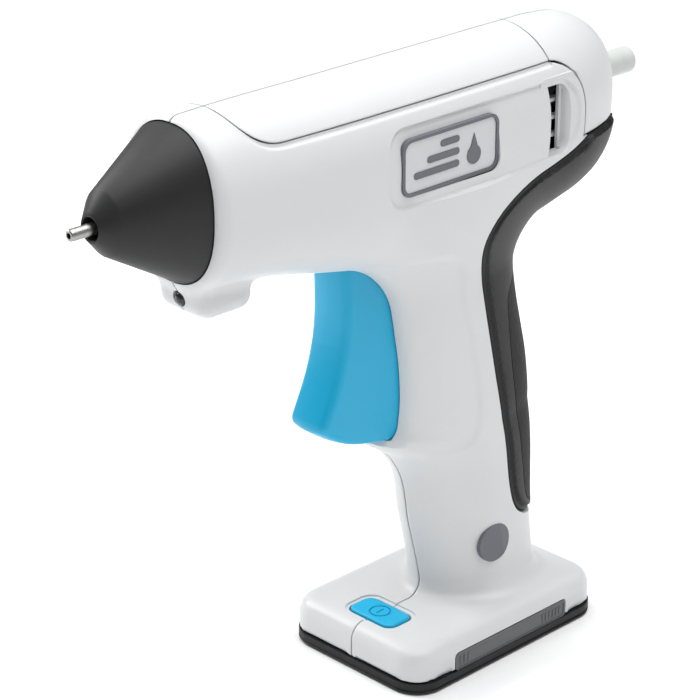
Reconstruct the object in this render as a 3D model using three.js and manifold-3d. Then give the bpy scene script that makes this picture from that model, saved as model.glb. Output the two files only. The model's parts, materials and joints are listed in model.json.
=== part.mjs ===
// A cordless hot-melt glue gun, as an assembly of separate pieces.
// Millimetres. +X runs along the barrel to the nozzle, +Y to the holder's left, +Z up.
// The origin is the centre of the foot's underside, where the gun stands.
import * as THREE from 'three';
import { mergeVertices } from 'three/addons/utils/BufferGeometryUtils.js';
import Module from 'manifold-3d';

const wasm = await Module();
wasm.setup();

// ---------------------------------------------------------------- driving dimensions
const AXIS_Z = 144.8; // height of the nozzle, heater and glue stick axis
const WALL = 2.2; // housing wall
const GAP = 0.3; // joint line and clearance between fixed neighbours
const SPLIT = GAP / 2; // each half stays this far from the middle plane
const BARREL_WAIST_Z = 144; // height where the barrel is widest
const UPPER_ROUND = 2.1; // superellipse exponent above the waist
const LOWER_ROUND = 2.3; // superellipse exponent below the waist
const GRIP_ROUND = 2.6; // superellipse exponent of the grip's section
const SECTION_SIDES = 20;
const HOLLOW_SIDES = 12;

// Barrel stations from the mouth to the rear: [x, half-width, top, bottom].
const BARREL = [
  [93.4, 16.9, 164.3, 124.9],
  [92.2, 17.8, 165.2, 124],
  [88, 18.6, 165.7, 123.8],
  [74, 19.8, 165.8, 122.8],
  [56, 20.8, 165.8, 118.8],
  [34, 21.2, 165.8, 113.6],
  [6, 21.2, 165.8, 111.4],
  [-16, 20.8, 165.8, 113],
  [-28, 19.9, 165.6, 115.6],
  [-36, 17.9, 164.6, 117],
  [-42, 15.3, 162.2, 119.4],
  [-46.6, 12, 158.6, 123.6],
  [-49.6, 8.4, 154.4, 129.6],
];

// Grip stations from the base up to the barrel: [z, front, rear, half-width].
const GRIP = [
  [5, 15.5, -28.5, 16.5],
  [13, 13.6, -27.6, 15.9],
  [17.6, 10.9, -26, 15.1],
  [34.8, 14.8, -24.4, 14.8],
  [54.4, 20.2, -23.4, 15.5],
  [58.2, 23.1, -23.1, 15.7],
  [62.2, 28.8, -22.8, 15.8],
  [64.4, 30.6, -22.6, 15.8],
  [67.4, 27.6, -22.4, 15.8],
  [79, 26.1, -20.4, 15.8],
  [87, 26.7, -18, 16],
  [96, 29.2, -15, 16.2],
  [104, 32.6, -14, 16.4],
  [110, 36.6, -17, 16.6],
  [114.7, 42.9, -27, 16.8],
  [119, 48, -36, 16.4],
  [125, 50, -40, 15],
];

const BASE = { front: 35.7, rear: -35.6, halfWidth: 24.3, corner: 8, bottom: 3.6, top: 12.8, edge: 2.2 };
const FOOT = { thickness: 3.3, overhang: 0.3, edge: 0.8 };
const STRIP = { halfLength: 21.4, bottom: 3.2, top: 8.3, depth: 0.9, proud: 0.2, corner: 1.2 };
const BUTTON = { front: 29.5, rear: 20.5, halfWidth: 7.9, corner: 2.5, top: 13, bottom: 9.4 };
const BUTTON_EDGE = { round: 0.7, flange: 1.2, flangeTop: 10.2 };
const MOUTH = { halfWidth: 14.9, halfHeight: 19, centreZ: 145, exponent: 2.5 };
const LENS = { x: 90.9, z: 121, radius: 1.8 };
const BADGE = { rear: 5.6, front: 38.9, bottom: 137.1, top: 151.6, corner: 3, face: 20.9, depth: 1.4 };
const SCOOP = { rear: -25.4, front: 43, bottom: 134.4, top: 154, corner: 6, floor: 20 };
const VENT = { rear: -21, front: -14.3, bottom: 134.6, top: 152.8, slats: 3, slat: 1.7, depth: 17 };
const GRIP_INLAY = { x: -3.2, z: 28.5, radius: 5.4, depth: 0.9 };
const BACK_GRIP_TOP = 137;
const SKIN = { proud: 0.5, inner: 1.7 }; // the soft back grip, out from and in from the form
const PAD = { proud: 0.8, inner: 0.5, halfWidth: 11 };
const TRIGGER_PIVOT = { x: 36, z: 121.5, pin: 2 };
const TRIGGER_HALF_WIDTH = 6.4;
const LEVER_PIVOT = { x: 2, z: 114, pin: 1.5 };
const PIN_END = 12.8; // half the length of both pivot pins
const PIN_FIT = 0.15; // clearance between a pin and the piece that turns on it
const STICK = { radius: 3.6, rear: -67, length: 100 };
const CELL = { x: -6.5, radius: 9.1, bottom: 9, length: 65, capRadius: 3, cap: 1.2 };
const SOCKET = { halfWidth: 4.6, bottom: 6.8, top: 10.2, rear: -35.2, front: -27.5, sheet: 0.4 };
const HEATER = { rear: 54, front: 78, halfWidth: 4.8, bottom: AXIS_Z + 7.7, top: AXIS_Z + 10.6 };
const FUSE = { rear: 79.2, front: 85.4, radius: 1.6, z: AXIS_Z + 9.4 };
const LAMP_BOARD = { rear: 84.4, front: 85.6, halfWidth: 5, bottom: 119.4, top: 127 };
const SCREWS = [
  { name: 'barrel_front_screw', x: 64, z: 128 },
  { name: 'barrel_rear_screw', x: -30, z: 129 },
  { name: 'grip_upper_screw', x: 8, z: 86 },
  { name: 'grip_lower_screw', x: 10, z: 50 },
];
const FOOT_SCREWS = [
  { name: 'foot_screw_front_left', x: 28, y: 17.5 },
  { name: 'foot_screw_front_right', x: 28, y: -17.5 },
  { name: 'foot_screw_rear_left', x: -28, y: 17.5 },
  { name: 'foot_screw_rear_right', x: -28, y: -17.5 },
];

// Cutting blocks reach this far, beyond any piece.
const BEYOND = 200;
const ACROSS = [-BEYOND, BEYOND];

// ---------------------------------------------------------------- solid helpers
function bufferOf(manifold) {
  const mesh = manifold.getMesh();
  const geometry = new THREE.BufferGeometry();
  geometry.setAttribute('position', new THREE.BufferAttribute(new Float32Array(mesh.vertProperties), 3));
  geometry.setIndex(new THREE.BufferAttribute(new Uint32Array(mesh.triVerts), 1));
  geometry.computeVertexNormals();
  return geometry;
}

function signedVolume(position, index) {
  const a = new THREE.Vector3();
  const b = new THREE.Vector3();
  const c = new THREE.Vector3();
  let volume = 0;
  for (let i = 0; i < index.length; i += 3) {
    a.fromBufferAttribute(position, index[i]);
    b.fromBufferAttribute(position, index[i + 1]);
    c.fromBufferAttribute(position, index[i + 2]);
    volume += a.dot(b.cross(c)) / 6;
  }
  return volume;
}

// A closed three.js geometry becomes a solid with its faces pointing out.
function solid(geometry) {
  const bare = geometry.clone();
  bare.deleteAttribute('normal');
  bare.deleteAttribute('uv');
  const merged = mergeVertices(bare, 1e-4);
  const index = Uint32Array.from(merged.index.array);
  if (signedVolume(merged.attributes.position, index) < 0) {
    index.reverse();
  }
  const vertProperties = new Float32Array(merged.attributes.position.array);
  return new wasm.Manifold(new wasm.Mesh({ numProp: 3, vertProperties, triVerts: index }));
}

const join = (...solids) => solids.reduce((whole, next) => whole.add(next));
const cut = (whole, ...tools) => tools.reduce((rest, tool) => rest.subtract(tool), whole);
const mirrorY = (item) => item.mirror([0, 1, 0]);

function box(xs, ys, zs) {
  const geometry = new THREE.BoxGeometry(xs[1] - xs[0], ys[1] - ys[0], zs[1] - zs[0]);
  geometry.translate((xs[0] + xs[1]) / 2, (ys[0] + ys[1]) / 2, (zs[0] + zs[1]) / 2);
  return solid(geometry);
}

function rodY(x, z, radius, ys, sides) {
  const geometry = new THREE.CylinderGeometry(radius, radius, ys[1] - ys[0], sides);
  geometry.translate(x, (ys[0] + ys[1]) / 2, z);
  return solid(geometry);
}

function rodZ(x, y, radius, zs, sides = 12) {
  const geometry = new THREE.CylinderGeometry(radius, radius, zs[1] - zs[0], sides);
  geometry.rotateX(Math.PI / 2);
  geometry.translate(x, y, (zs[0] + zs[1]) / 2);
  return solid(geometry);
}

function rodX(radius, xs, z = AXIS_Z, y = 0, sides = 18) {
  const geometry = new THREE.CylinderGeometry(radius, radius, xs[1] - xs[0], sides);
  geometry.rotateZ(Math.PI / 2);
  geometry.translate((xs[0] + xs[1]) / 2, y, z);
  return solid(geometry);
}

// A turned piece on the barrel axis: the outline lists [x, radius] and closes on itself.
function turned(outline, sides = 18) {
  const points = outline.map(([x, radius]) => new THREE.Vector2(radius, x));
  points.push(points[0].clone());
  const geometry = new THREE.LatheGeometry(points, sides);
  geometry.rotateZ(-Math.PI / 2);
  geometry.translate(0, 0, AXIS_Z);
  return solid(geometry);
}

function shapeOf(points) {
  return new THREE.Shape(points.map(([u, v]) => new THREE.Vector2(u, v)));
}

// An outline extruded to a thickness, with both rims bevelled inside the outline.
function extruded(shape, thickness, bevel, curveSegments) {
  return new THREE.ExtrudeGeometry(shape, {
    depth: thickness - 2 * bevel,
    curveSegments,
    bevelEnabled: bevel > 0,
    bevelThickness: bevel,
    bevelSize: bevel,
    bevelOffset: -bevel,
    bevelSegments: 2,
  });
}

// An outline in the side view (x, z), extruded across the gun between two y values.
function sidePlate(shape, ys, bevel = 0, curveSegments = 6) {
  const geometry = extruded(shape, ys[1] - ys[0], bevel, curveSegments);
  geometry.rotateX(Math.PI / 2);
  geometry.translate(0, ys[1] - bevel, 0);
  return solid(geometry);
}

// An outline in the top view (x, y), extruded up between two z values.
function levelPlate(shape, zs, bevel = 0, curveSegments = 6) {
  const geometry = extruded(shape, zs[1] - zs[0], bevel, curveSegments);
  geometry.translate(0, 0, zs[0] + bevel);
  return solid(geometry);
}

function roundedRectangle(us, vs, radius) {
  const shape = new THREE.Shape();
  shape.moveTo(us[0] + radius, vs[0]);
  shape.lineTo(us[1] - radius, vs[0]);
  shape.absarc(us[1] - radius, vs[0] + radius, radius, -Math.PI / 2, 0);
  shape.lineTo(us[1], vs[1] - radius);
  shape.absarc(us[1] - radius, vs[1] - radius, radius, 0, Math.PI / 2);
  shape.lineTo(us[0] + radius, vs[1]);
  shape.absarc(us[0] + radius, vs[1] - radius, radius, Math.PI / 2, Math.PI);
  shape.lineTo(us[0], vs[0] + radius);
  shape.absarc(us[0] + radius, vs[0] + radius, radius, Math.PI, 1.5 * Math.PI);
  return shape;
}

// A bar whose rim is moved, station by station, onto the outline that place() gives.
function loft(stationCount, sides, place) {
  const geometry = new THREE.CylinderGeometry(1, 1, 1, sides, stationCount - 1);
  const position = geometry.attributes.position;
  const point = new THREE.Vector3();
  for (let i = 0; i < position.count; i += 1) {
    point.fromBufferAttribute(position, i);
    const station = Math.round((0.5 - point.y) * (stationCount - 1));
    const onRim = Math.hypot(point.x, point.z) > 0.5;
    const angle = Math.atan2(point.z, point.x);
    position.setXYZ(i, ...place(station, angle, onRim));
  }
  return solid(geometry);
}

// A point on a superellipse of unit size.
function superellipse(angle, exponent) {
  const power = 2 / exponent;
  const cos = Math.cos(angle);
  const sin = Math.sin(angle);
  return [Math.sign(cos) * Math.abs(cos) ** power, Math.sign(sin) * Math.abs(sin) ** power];
}

// A tube along a smooth route.
function tube(points, radius, sides, steps) {
  const route = new THREE.CatmullRomCurve3(points.map((p) => new THREE.Vector3(...p)));
  const section = new THREE.Shape();
  for (let i = 0; i < sides; i += 1) {
    const angle = (i / sides) * 2 * Math.PI;
    const move = i === 0 ? 'moveTo' : 'lineTo';
    section[move](radius * Math.cos(angle), radius * Math.sin(angle));
  }
  return solid(new THREE.ExtrudeGeometry(section, { steps, extrudePath: route }));
}

// ---------------------------------------------------------------- outer form
// The barrel, smaller all round by the inset; rearFloor thickens the wall under its tail.
function barrelForm(inset, rearFloor = 0, sides = SECTION_SIDES, stations = BARREL) {
  const frontX = BARREL[0][0] - inset;
  const rearX = BARREL[BARREL.length - 1][0] + inset;
  return loft(stations.length, sides, (station, angle, onRim) => {
    const [x, halfWidth, top, bottom] = stations[station];
    const along = Math.min(frontX, Math.max(rearX, x));
    if (!onRim) {
      return [along, 0, BARREL_WAIST_Z];
    }
    const above = Math.sin(angle) > 0;
    const [u, v] = superellipse(angle, above ? UPPER_ROUND : LOWER_ROUND);
    const tail = rearFloor * THREE.MathUtils.smoothstep(-x, -20, 10);
    const height = above ? top - inset - BARREL_WAIST_Z : BARREL_WAIST_Z - bottom - inset - tail;
    return [along, u * (halfWidth - inset), BARREL_WAIST_Z + v * height];
  });
}

function gripForm(inset, rearFloor = 0, lowestZ = GRIP[0][0], sides = SECTION_SIDES, stations = GRIP) {
  return loft(stations.length, sides, (station, angle, onRim) => {
    const [z, front, rear, halfWidth] = stations[station];
    const from = rear + inset + rearFloor;
    const to = front - inset;
    const height = Math.max(z, lowestZ);
    if (!onRim) {
      return [(from + to) / 2, 0, height];
    }
    const [u, v] = superellipse(angle, GRIP_ROUND);
    return [(from + to) / 2 + (u * (to - from)) / 2, v * (halfWidth - inset), height];
  });
}

const handle = (inset) => join(barrelForm(inset), gripForm(inset));

// The block under the nose that carries the lamp.
function lugForm(inset) {
  const outline = shapeOf([
    [93 - inset, 130],
    [90.6 - inset, 116.6 + inset],
    [79.4 + inset, 116.6 + inset],
    [75.6 + inset, 120.4 + inset],
    [74.2, 130],
  ]);
  const halfWidth = 8.5 - inset;
  return sidePlate(outline, [-halfWidth, halfWidth], 2);
}

function baseForm(inset) {
  const shape = roundedRectangle(
    [BASE.rear + inset, BASE.front - inset],
    [-BASE.halfWidth + inset, BASE.halfWidth - inset],
    BASE.corner - inset,
  );
  const slab = levelPlate(shape, [BASE.bottom - 4, BASE.top - inset], BASE.edge, 4);
  return cut(slab, box(ACROSS, ACROSS, [-BEYOND, BASE.bottom]));
}

// The fillet between the grip and the base's top face.
function gripRootForm() {
  const rings = [
    [BASE.top - 1, 5.2],
    [BASE.top + 0.1, 5],
    [BASE.top + 0.9, 3.2],
    [BASE.top + 2.2, 1.6],
    [BASE.top + 4.4, 0.2],
    [BASE.top + 5.4, -0.6],
  ];
  return loft(rings.length, SECTION_SIDES, (station, angle, onRim) => {
    const [z, flare] = rings[station];
    if (!onRim) {
      return [-9, 0, z];
    }
    const [u, v] = superellipse(angle, GRIP_ROUND);
    return [-9.1 + u * (20 + flare), v * (15.7 + flare * 0.9), z];
  });
}

// ---------------------------------------------------------------- joint lines
// The region of the top cover, grown by an offset: its front lower corner is a large round.
function coverRegion(offset) {
  const rear = -17.7 - offset;
  const front = 83 + offset;
  const bottom = 158.1 - offset;
  const shape = new THREE.Shape();
  shape.moveTo(rear, 175);
  shape.lineTo(rear, bottom);
  shape.lineTo(front - 11, bottom);
  shape.quadraticCurveTo(front - 3.4, bottom + 0.2, front - 0.7, bottom + 4.9);
  shape.lineTo(front, bottom + 8);
  shape.lineTo(front, 175);
  return sidePlate(shape, [-30, 30]);
}

// The region of the rear cover: behind a C-shaped line round the vent, above the back grip.
function rearRegion(offset) {
  const shape = new THREE.Shape();
  shape.moveTo(-17.7 + offset, 175);
  shape.lineTo(-17.7 + offset, 158.1);
  shape.bezierCurveTo(-23 + offset, 157, -27.5 + offset, 152.6, -27.7 + offset, 145);
  shape.lineTo(-27.9 + offset, BACK_GRIP_TOP + GAP - offset);
  shape.lineTo(-BEYOND, BACK_GRIP_TOP + GAP - offset);
  shape.lineTo(-BEYOND, 175);
  return sidePlate(shape, [-30, 30]);
}

// The side outline of the soft back grip; grow moves its front edge and its ends outwards.
function backGripRegion(grow) {
  const shape = new THREE.Shape();
  shape.moveTo(-BEYOND, BACK_GRIP_TOP + grow);
  shape.lineTo(-29 + grow, BACK_GRIP_TOP + grow);
  shape.quadraticCurveTo(-30.4 + grow, 133.2 + grow, -25.8 + grow, 131.9 + grow);
  shape.bezierCurveTo(-12 + grow, 129 + grow, 3.2 + grow, 119, 3.2 + grow, 108);
  shape.bezierCurveTo(2.8 + grow, 96, -3.2 + grow, 74, -6.4 + grow, 54);
  shape.bezierCurveTo(-7.4 + grow, 46, -7.4 + grow, 37.4 - grow, -13 + grow, 35.4 - grow);
  shape.bezierCurveTo(-18 + grow, 33.4 - grow, -21 + grow, 27 - grow, -25 + grow, 25.6 - grow);
  shape.lineTo(-BEYOND, 24.4 - grow);
  return sidePlate(shape, [-30, 30], 0, 5);
}

// The textured pad let into the back of the grip.
function padRegion(grow) {
  const shape = new THREE.Shape();
  shape.moveTo(-60, 101 + grow);
  shape.lineTo(-19 + grow, 100.4 + grow);
  shape.quadraticCurveTo(-12.6 + grow, 96 + grow, -13 + grow, 88);
  shape.quadraticCurveTo(-17 + grow, 58, -22 + grow, 33 - grow);
  shape.quadraticCurveTo(-22.6 + grow, 30.2 - grow, -26 + grow, 30 - grow);
  shape.lineTo(-60, 30 - grow);
  return sidePlate(shape, [-PAD.halfWidth - grow, PAD.halfWidth + grow], 0, 4);
}

function backGrip() {
  const skin = cut(handle(-SKIN.proud).intersect(backGripRegion(0)), handle(SKIN.inner));
  const pocket = cut(padRegion(GAP), handle(PAD.inner + GAP));
  return cut(skin, pocket);
}

function gripPad() {
  return cut(handle(-PAD.proud).intersect(padRegion(0)), handle(PAD.inner));
}

// ---------------------------------------------------------------- housing
// The hollow follows every other barrel station, and the grip stations that matter to its form.
const BARREL_ROOM = BARREL.filter((_, index) => index % 2 === 0);
const GRIP_ROOM = GRIP.filter(([z]) => ![13, 58.2, 64.4, 87, 110].includes(z));

function hollow() {
  const rearFloor = 2.3;
  const frontWall = 91;
  const barrelRoom = cut(
    barrelForm(WALL, rearFloor, HOLLOW_SIDES, BARREL_ROOM),
    box([frontWall, BEYOND], ACROSS, ACROSS),
  );
  const gripRoom = gripForm(WALL, rearFloor, BASE.bottom + 1, HOLLOW_SIDES, GRIP_ROOM);
  const lugRoom = lugForm(WALL);
  const baseRoom = cut(baseForm(WALL), box(ACROSS, ACROSS, [-BEYOND, BASE.bottom - 1]));
  const mouthHalf = BASE.halfWidth - WALL;
  const baseMouth = levelPlate(
    roundedRectangle([BASE.rear + WALL, BASE.front - WALL], [-mouthHalf, mouthHalf], BASE.corner - WALL),
    [BASE.bottom - 1, BASE.bottom + 3],
  );
  return join(barrelRoom, gripRoom, lugRoom, baseRoom, baseMouth);
}

function mouthHole() {
  return loft(2, SECTION_SIDES, (station, angle, onRim) => {
    const x = station === 0 ? 84 : 100;
    const [u, v] = superellipse(angle, MOUTH.exponent);
    const size = onRim ? 1 : 0;
    return [x, size * u * (MOUTH.halfWidth + GAP), MOUTH.centreZ + size * v * (MOUTH.halfHeight + GAP)];
  });
}

// The shallow panel round the badge and the air scoop behind it, on the left side.
function sideRecess() {
  const panel = roundedRectangle([SCOOP.rear, SCOOP.front], [SCOOP.bottom, SCOOP.top], SCOOP.corner);
  const scoop = roundedRectangle([SCOOP.rear + 0.4, VENT.front], [VENT.bottom, VENT.top], 3);
  return join(sidePlate(panel, [SCOOP.floor, 30], 0, 5), sidePlate(scoop, [VENT.depth, 30], 0, 5));
}

function ventSlots() {
  const openings = VENT.slats + 1;
  const pitch = (VENT.top - VENT.bottom + VENT.slat) / openings;
  const across = [VENT.depth - 6, VENT.depth + 2];
  const slots = [];
  for (let i = 0; i < openings; i += 1) {
    const bottom = VENT.bottom + i * pitch;
    const top = bottom + pitch - VENT.slat;
    slots.push(box([VENT.rear, VENT.front + 1.2], across, [bottom, top]));
  }
  return join(...slots);
}

// A ledge behind the scoop that its slots pass through.
function scoopWall() {
  const heights = [VENT.bottom - 1.6, VENT.top + 1.6];
  const outline = roundedRectangle([SCOOP.rear - 1, VENT.front + 3], heights, 2);
  return sidePlate(outline, [VENT.depth - 1.6, VENT.depth + 3], 0, 3);
}

function badgePocket(grow) {
  const outline = roundedRectangle(
    [BADGE.rear - grow, BADGE.front + grow],
    [BADGE.bottom - grow, BADGE.top + grow],
    BADGE.corner + grow,
  );
  return sidePlate(outline, [BADGE.face - BADGE.depth - grow, 30], 0, 4);
}

function inlayPocket(grow) {
  const { x, z, radius } = GRIP_INLAY;
  return cut(rodY(x, z, radius + grow, [5, 30], 28), gripForm(GRIP_INLAY.depth + grow));
}

function stripPocket(grow) {
  const outline = roundedRectangle(
    [-STRIP.halfLength - grow, STRIP.halfLength + grow],
    [STRIP.bottom - grow, STRIP.top + grow],
    STRIP.corner,
  );
  return sidePlate(outline, [BASE.halfWidth - STRIP.depth - grow, 30], 0, 3);
}

function screwBosses() {
  const bosses = SCREWS.map(({ x, z }) => rodY(x, z, 3.4, [-22, 22], 10));
  return join(...bosses).intersect(join(barrelForm(1), gripForm(1)));
}

function screwHoles() {
  const shanks = SCREWS.map(({ x, z }) => rodY(x, z, 1.7, [-30, 11], 8));
  const heads = SCREWS.map(({ x, z }) => rodY(x, z, 3.1, [-30, -10.2], 12));
  return join(...shanks, ...heads);
}

function footPosts() {
  return join(...FOOT_SCREWS.map(({ x, y }) => rodZ(x, y, 3.4, [BASE.bottom + 0.2, BASE.top - 1], 10)));
}

function footScrewHoles() {
  return join(...FOOT_SCREWS.map(({ x, y }) => rodZ(x, y, 1.5, [-5, BASE.top - 2.6], 8)));
}

function pinBosses() {
  const room = join(barrelForm(1), gripForm(1));
  const bosses = [TRIGGER_PIVOT, LEVER_PIVOT].flatMap(({ x, z }) => [
    rodY(x, z, 4, [9.6, 20], 10),
    rodY(x, z, 4, [-20, -9.6], 10),
  ]);
  return join(...bosses).intersect(room);
}

function pinHoles() {
  const end = PIN_END + 0.4;
  const holes = [TRIGGER_PIVOT, LEVER_PIVOT].map(({ x, z, pin }) => rodY(x, z, pin + GAP, [-end, end], 12));
  return join(...holes);
}

// Cross ribs that hold the heater sleeve and the rear guide on the barrel axis.
function ribs() {
  const room = barrelForm(1);
  const heaterNotch = box([60, 70], [-5.4, 5.4], [AXIS_Z, 160]);
  const plates = [
    cut(box([25, 27], [-25, 25], [130, 156]), rodX(6.9, [20, 30], AXIS_Z, 0, 12)),
    cut(box([66, 68], [-25, 25], [134.8, 156]), rodX(8.8, [60, 70], AXIS_Z, 0, 12), heaterNotch),
    cut(box([-42, -40], [-25, 25], [138, 155]), rodX(5.8, [-50, -30], AXIS_Z, 0, 12)),
  ];
  return join(...plates).intersect(room);
}

// The slot through the front of the grip that the trigger swings in.
function triggerSlot() {
  const half = TRIGGER_HALF_WIDTH + 0.5;
  const outline = shapeOf([
    [20, 65.6],
    [60, 65.6],
    [60, 112],
    [48, 121],
    [33, 124.4],
    [20, 110],
  ]);
  return sidePlate(outline, [-half, half]);
}

function buttonPocket() {
  const outline = roundedRectangle(
    [BUTTON.rear - 0.5, BUTTON.front + 0.5],
    [-BUTTON.halfWidth - 0.5, BUTTON.halfWidth + 0.5],
    BUTTON.corner + 0.5,
  );
  return levelPlate(outline, [BUTTON.bottom - 2, 20], 0, 3);
}

function socketHole() {
  const outline = [-SOCKET.halfWidth - GAP, SOCKET.halfWidth + GAP];
  return box([-40, -30], outline, [SOCKET.bottom - GAP, SOCKET.top + GAP]);
}

function housingShell() {
  const skirtTabs = join(
    box([-22.6, 22.6], [22.3, BASE.halfWidth], [2.2, BASE.bottom + 1]),
    box([-22.6, 22.6], [-BASE.halfWidth, -22.3], [2.2, BASE.bottom + 1]),
  );
  const outer = join(barrelForm(0), gripForm(0), lugForm(0), gripRootForm(), baseForm(0), skirtTabs);
  const inside = join(scoopWall(), mirrorY(scoopWall()), screwBosses(), pinBosses(), ribs(), footPosts());
  const walls = join(cut(outer, hollow()), inside.intersect(outer));
  const skinRoom = cut(backGripRegion(GAP), handle(SKIN.inner + GAP));
  const sideCuts = [sideRecess(), ventSlots(), badgePocket(GAP), inlayPocket(GAP), stripPocket(GAP)];
  return cut(
    walls,
    skinRoom,
    ...sideCuts,
    ...sideCuts.map(mirrorY),
    mouthHole(),
    rodX(LENS.radius + GAP, [84, 100], LENS.z, 0, 14),
    rodX(4.4, [-70, -38]),
    triggerSlot(),
    buttonPocket(),
    socketHole(),
    screwHoles(),
    footScrewHoles(),
    pinHoles(),
  );
}

const leftHalf = (item) => item.intersect(box(ACROSS, [SPLIT, BEYOND], ACROSS));
const rightHalf = (item) => item.intersect(box(ACROSS, [-BEYOND, -SPLIT], ACROSS));

// ---------------------------------------------------------------- outside pieces
function noseCone() {
  const rings = [
    [88.4, 14.7, 18.8, 145],
    [93.6, 14.7, 18.8, 145],
    [113.3, 6.5, 7.8, AXIS_Z + 0.4],
    [117, 3.2, 3.4, AXIS_Z],
  ];
  const form = (inset) => loft(rings.length, 28, (station, angle, onRim) => {
    const [x, halfWidth, halfHeight, centre] = rings[station];
    const [u, v] = superellipse(angle, 2.3);
    const size = onRim ? 1 : 0;
    return [x - inset * 0.6, size * u * (halfWidth - inset), centre + size * v * (halfHeight - inset)];
  });
  const opened = cut(form(0), form(1.8), rodX(13, [80, 89.5]));
  return cut(opened, rodX(2.6, [100, 120], AXIS_Z, 0, 16));
}

function nozzle() {
  return turned([
    [100.5, 0.9],
    [100.5, 2.6],
    [110, 2.6],
    [110, 1.4],
    [122.3, 1.4],
    [122.9, 0.95],
    [122.9, 0.6],
    [108, 0.6],
    [104, 0.9],
  ], 20);
}

function badge() {
  const plate = roundedRectangle([BADGE.rear, BADGE.front], [BADGE.bottom, BADGE.top], BADGE.corner);
  return sidePlate(plate, [BADGE.face - BADGE.depth, BADGE.face], 0, 4);
}

function gripInlay() {
  const { x, z, radius, depth } = GRIP_INLAY;
  return rodY(x, z, radius, [5, 30], 28).intersect(gripForm(-0.15)).subtract(gripForm(depth));
}

function sideStrip() {
  const along = [-STRIP.halfLength, STRIP.halfLength];
  const outline = roundedRectangle(along, [STRIP.bottom, STRIP.top], STRIP.corner);
  return sidePlate(outline, [BASE.halfWidth - STRIP.depth, BASE.halfWidth + STRIP.proud], 0, 3);
}

// The button's cap, with a flange under it that the base's top wall holds down.
function powerButton() {
  const outline = (grow) => roundedRectangle(
    [BUTTON.rear - grow, BUTTON.front + grow],
    [-BUTTON.halfWidth - grow, BUTTON.halfWidth + grow],
    BUTTON.corner,
  );
  const blank = levelPlate(outline(0), [BUTTON.bottom - 1, BUTTON.top], BUTTON_EDGE.round, 3);
  const cap = cut(blank, box(ACROSS, ACROSS, [-BEYOND, BUTTON.bottom]));
  const flange = levelPlate(outline(BUTTON_EDGE.flange), [BUTTON.bottom, BUTTON_EDGE.flangeTop], 0, 3);
  return join(cap, flange);
}

function foot() {
  const outline = (grow) => roundedRectangle(
    [BASE.rear - grow - 0.4, BASE.front + grow],
    [-BASE.halfWidth - grow, BASE.halfWidth + grow],
    BASE.corner + grow,
  );
  const blank = levelPlate(outline(FOOT.overhang), [0, FOOT.thickness + 1], FOOT.edge, 4);
  const sole = cut(blank, box(ACROSS, ACROSS, [FOOT.thickness, BEYOND]));
  const rimOutline = roundedRectangle([BASE.rear + 2.6, BASE.front - 2.6], [-21.7, 21.7], 5.4);
  const rim = levelPlate(rimOutline, [1, 4.6], 0, 4);
  const notch = box([-23, 23], [21.9, 30], [1.9, 9]);
  const seats = FOOT_SCREWS.map(({ x, y }) => rodZ(x, y, 2.8, [-2, 1.9], 12));
  const holes = FOOT_SCREWS.map(({ x, y }) => rodZ(x, y, 1.6, [-2, 9], 8));
  const posts = FOOT_SCREWS.map(({ x, y }) => rodZ(x, y, 3.8, [BASE.bottom - 0.1, 9], 12));
  return cut(join(sole, rim), notch, mirrorY(notch), ...seats, ...holes, ...posts);
}

function lampLens() {
  const stem = rodX(LENS.radius, [86.2, 90.6], LENS.z, 0, 14);
  const dome = new THREE.SphereGeometry(LENS.radius, 14, 7);
  dome.translate(90.4, 0, LENS.z);
  return join(stem, solid(dome));
}

// ---------------------------------------------------------------- moving pieces
function trigger() {
  const shape = new THREE.Shape();
  shape.moveTo(41, 121.5);
  shape.lineTo(44.4, 117);
  shape.bezierCurveTo(44, 108, 43.4, 100, 45.6, 92);
  shape.bezierCurveTo(47.2, 85.8, 50, 81, 51.6, 77.4);
  shape.quadraticCurveTo(52.6, 75, 50.2, 73.2);
  shape.bezierCurveTo(45.4, 69.6, 40, 66.8, 34, 66.2);
  shape.bezierCurveTo(29, 66, 27.2, 68, 26.6, 71);
  shape.bezierCurveTo(25, 79, 25.2, 87, 28.2, 96);
  shape.bezierCurveTo(30.6, 102.6, 33.6, 107.4, 34.2, 112);
  shape.lineTo(31, 121.5);
  shape.absarc(TRIGGER_PIVOT.x, TRIGGER_PIVOT.z, 5, Math.PI, 0, true);
  const half = TRIGGER_HALF_WIDTH;
  const body = sidePlate(shape, [-half, half], 1.2, 4);
  const cavityOutline = shapeOf([
    [18, 80],
    [38, 80],
    [36, 94],
    [38, 104],
    [35, 106],
    [18, 92],
  ]);
  const cavity = sidePlate(cavityOutline, [-3.8, 3.8]);
  const pusher = box([18, 42], [-2, 2], [98, 102.4]);
  const bore = rodY(TRIGGER_PIVOT.x, TRIGGER_PIVOT.z, TRIGGER_PIVOT.pin + PIN_FIT, [-20, 20], 16);
  return cut(join(cut(body, cavity), pusher), bore);
}

function pivotPin({ x, z, pin }) {
  return rodY(x, z, pin, [-PIN_END, PIN_END], 16);
}

function glueStick() {
  return rodX(STICK.radius, [STICK.rear, STICK.rear + STICK.length], AXIS_Z, 0, 24);
}

// The rocker that turns the trigger's backward push into the carriage's forward one.
function feedLever() {
  const shape = shapeOf([
    [-1.6, 112],
    [9, 99.6],
    [13, 98.2],
    [15.6, 100.6],
    [6.4, 113],
    [1.8, 124],
    [0.2, 134.2],
    [-4.2, 134.2],
    [-3.4, 122],
  ]);
  const arm = sidePlate(shape, [-2.2, 2.2]);
  const hub = rodY(LEVER_PIVOT.x, LEVER_PIVOT.z, 4, [-4, 4], 20);
  const bore = rodY(LEVER_PIVOT.x, LEVER_PIVOT.z, LEVER_PIVOT.pin + PIN_FIT, [-9, 9], 16);
  return cut(join(arm, hub), bore);
}

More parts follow.
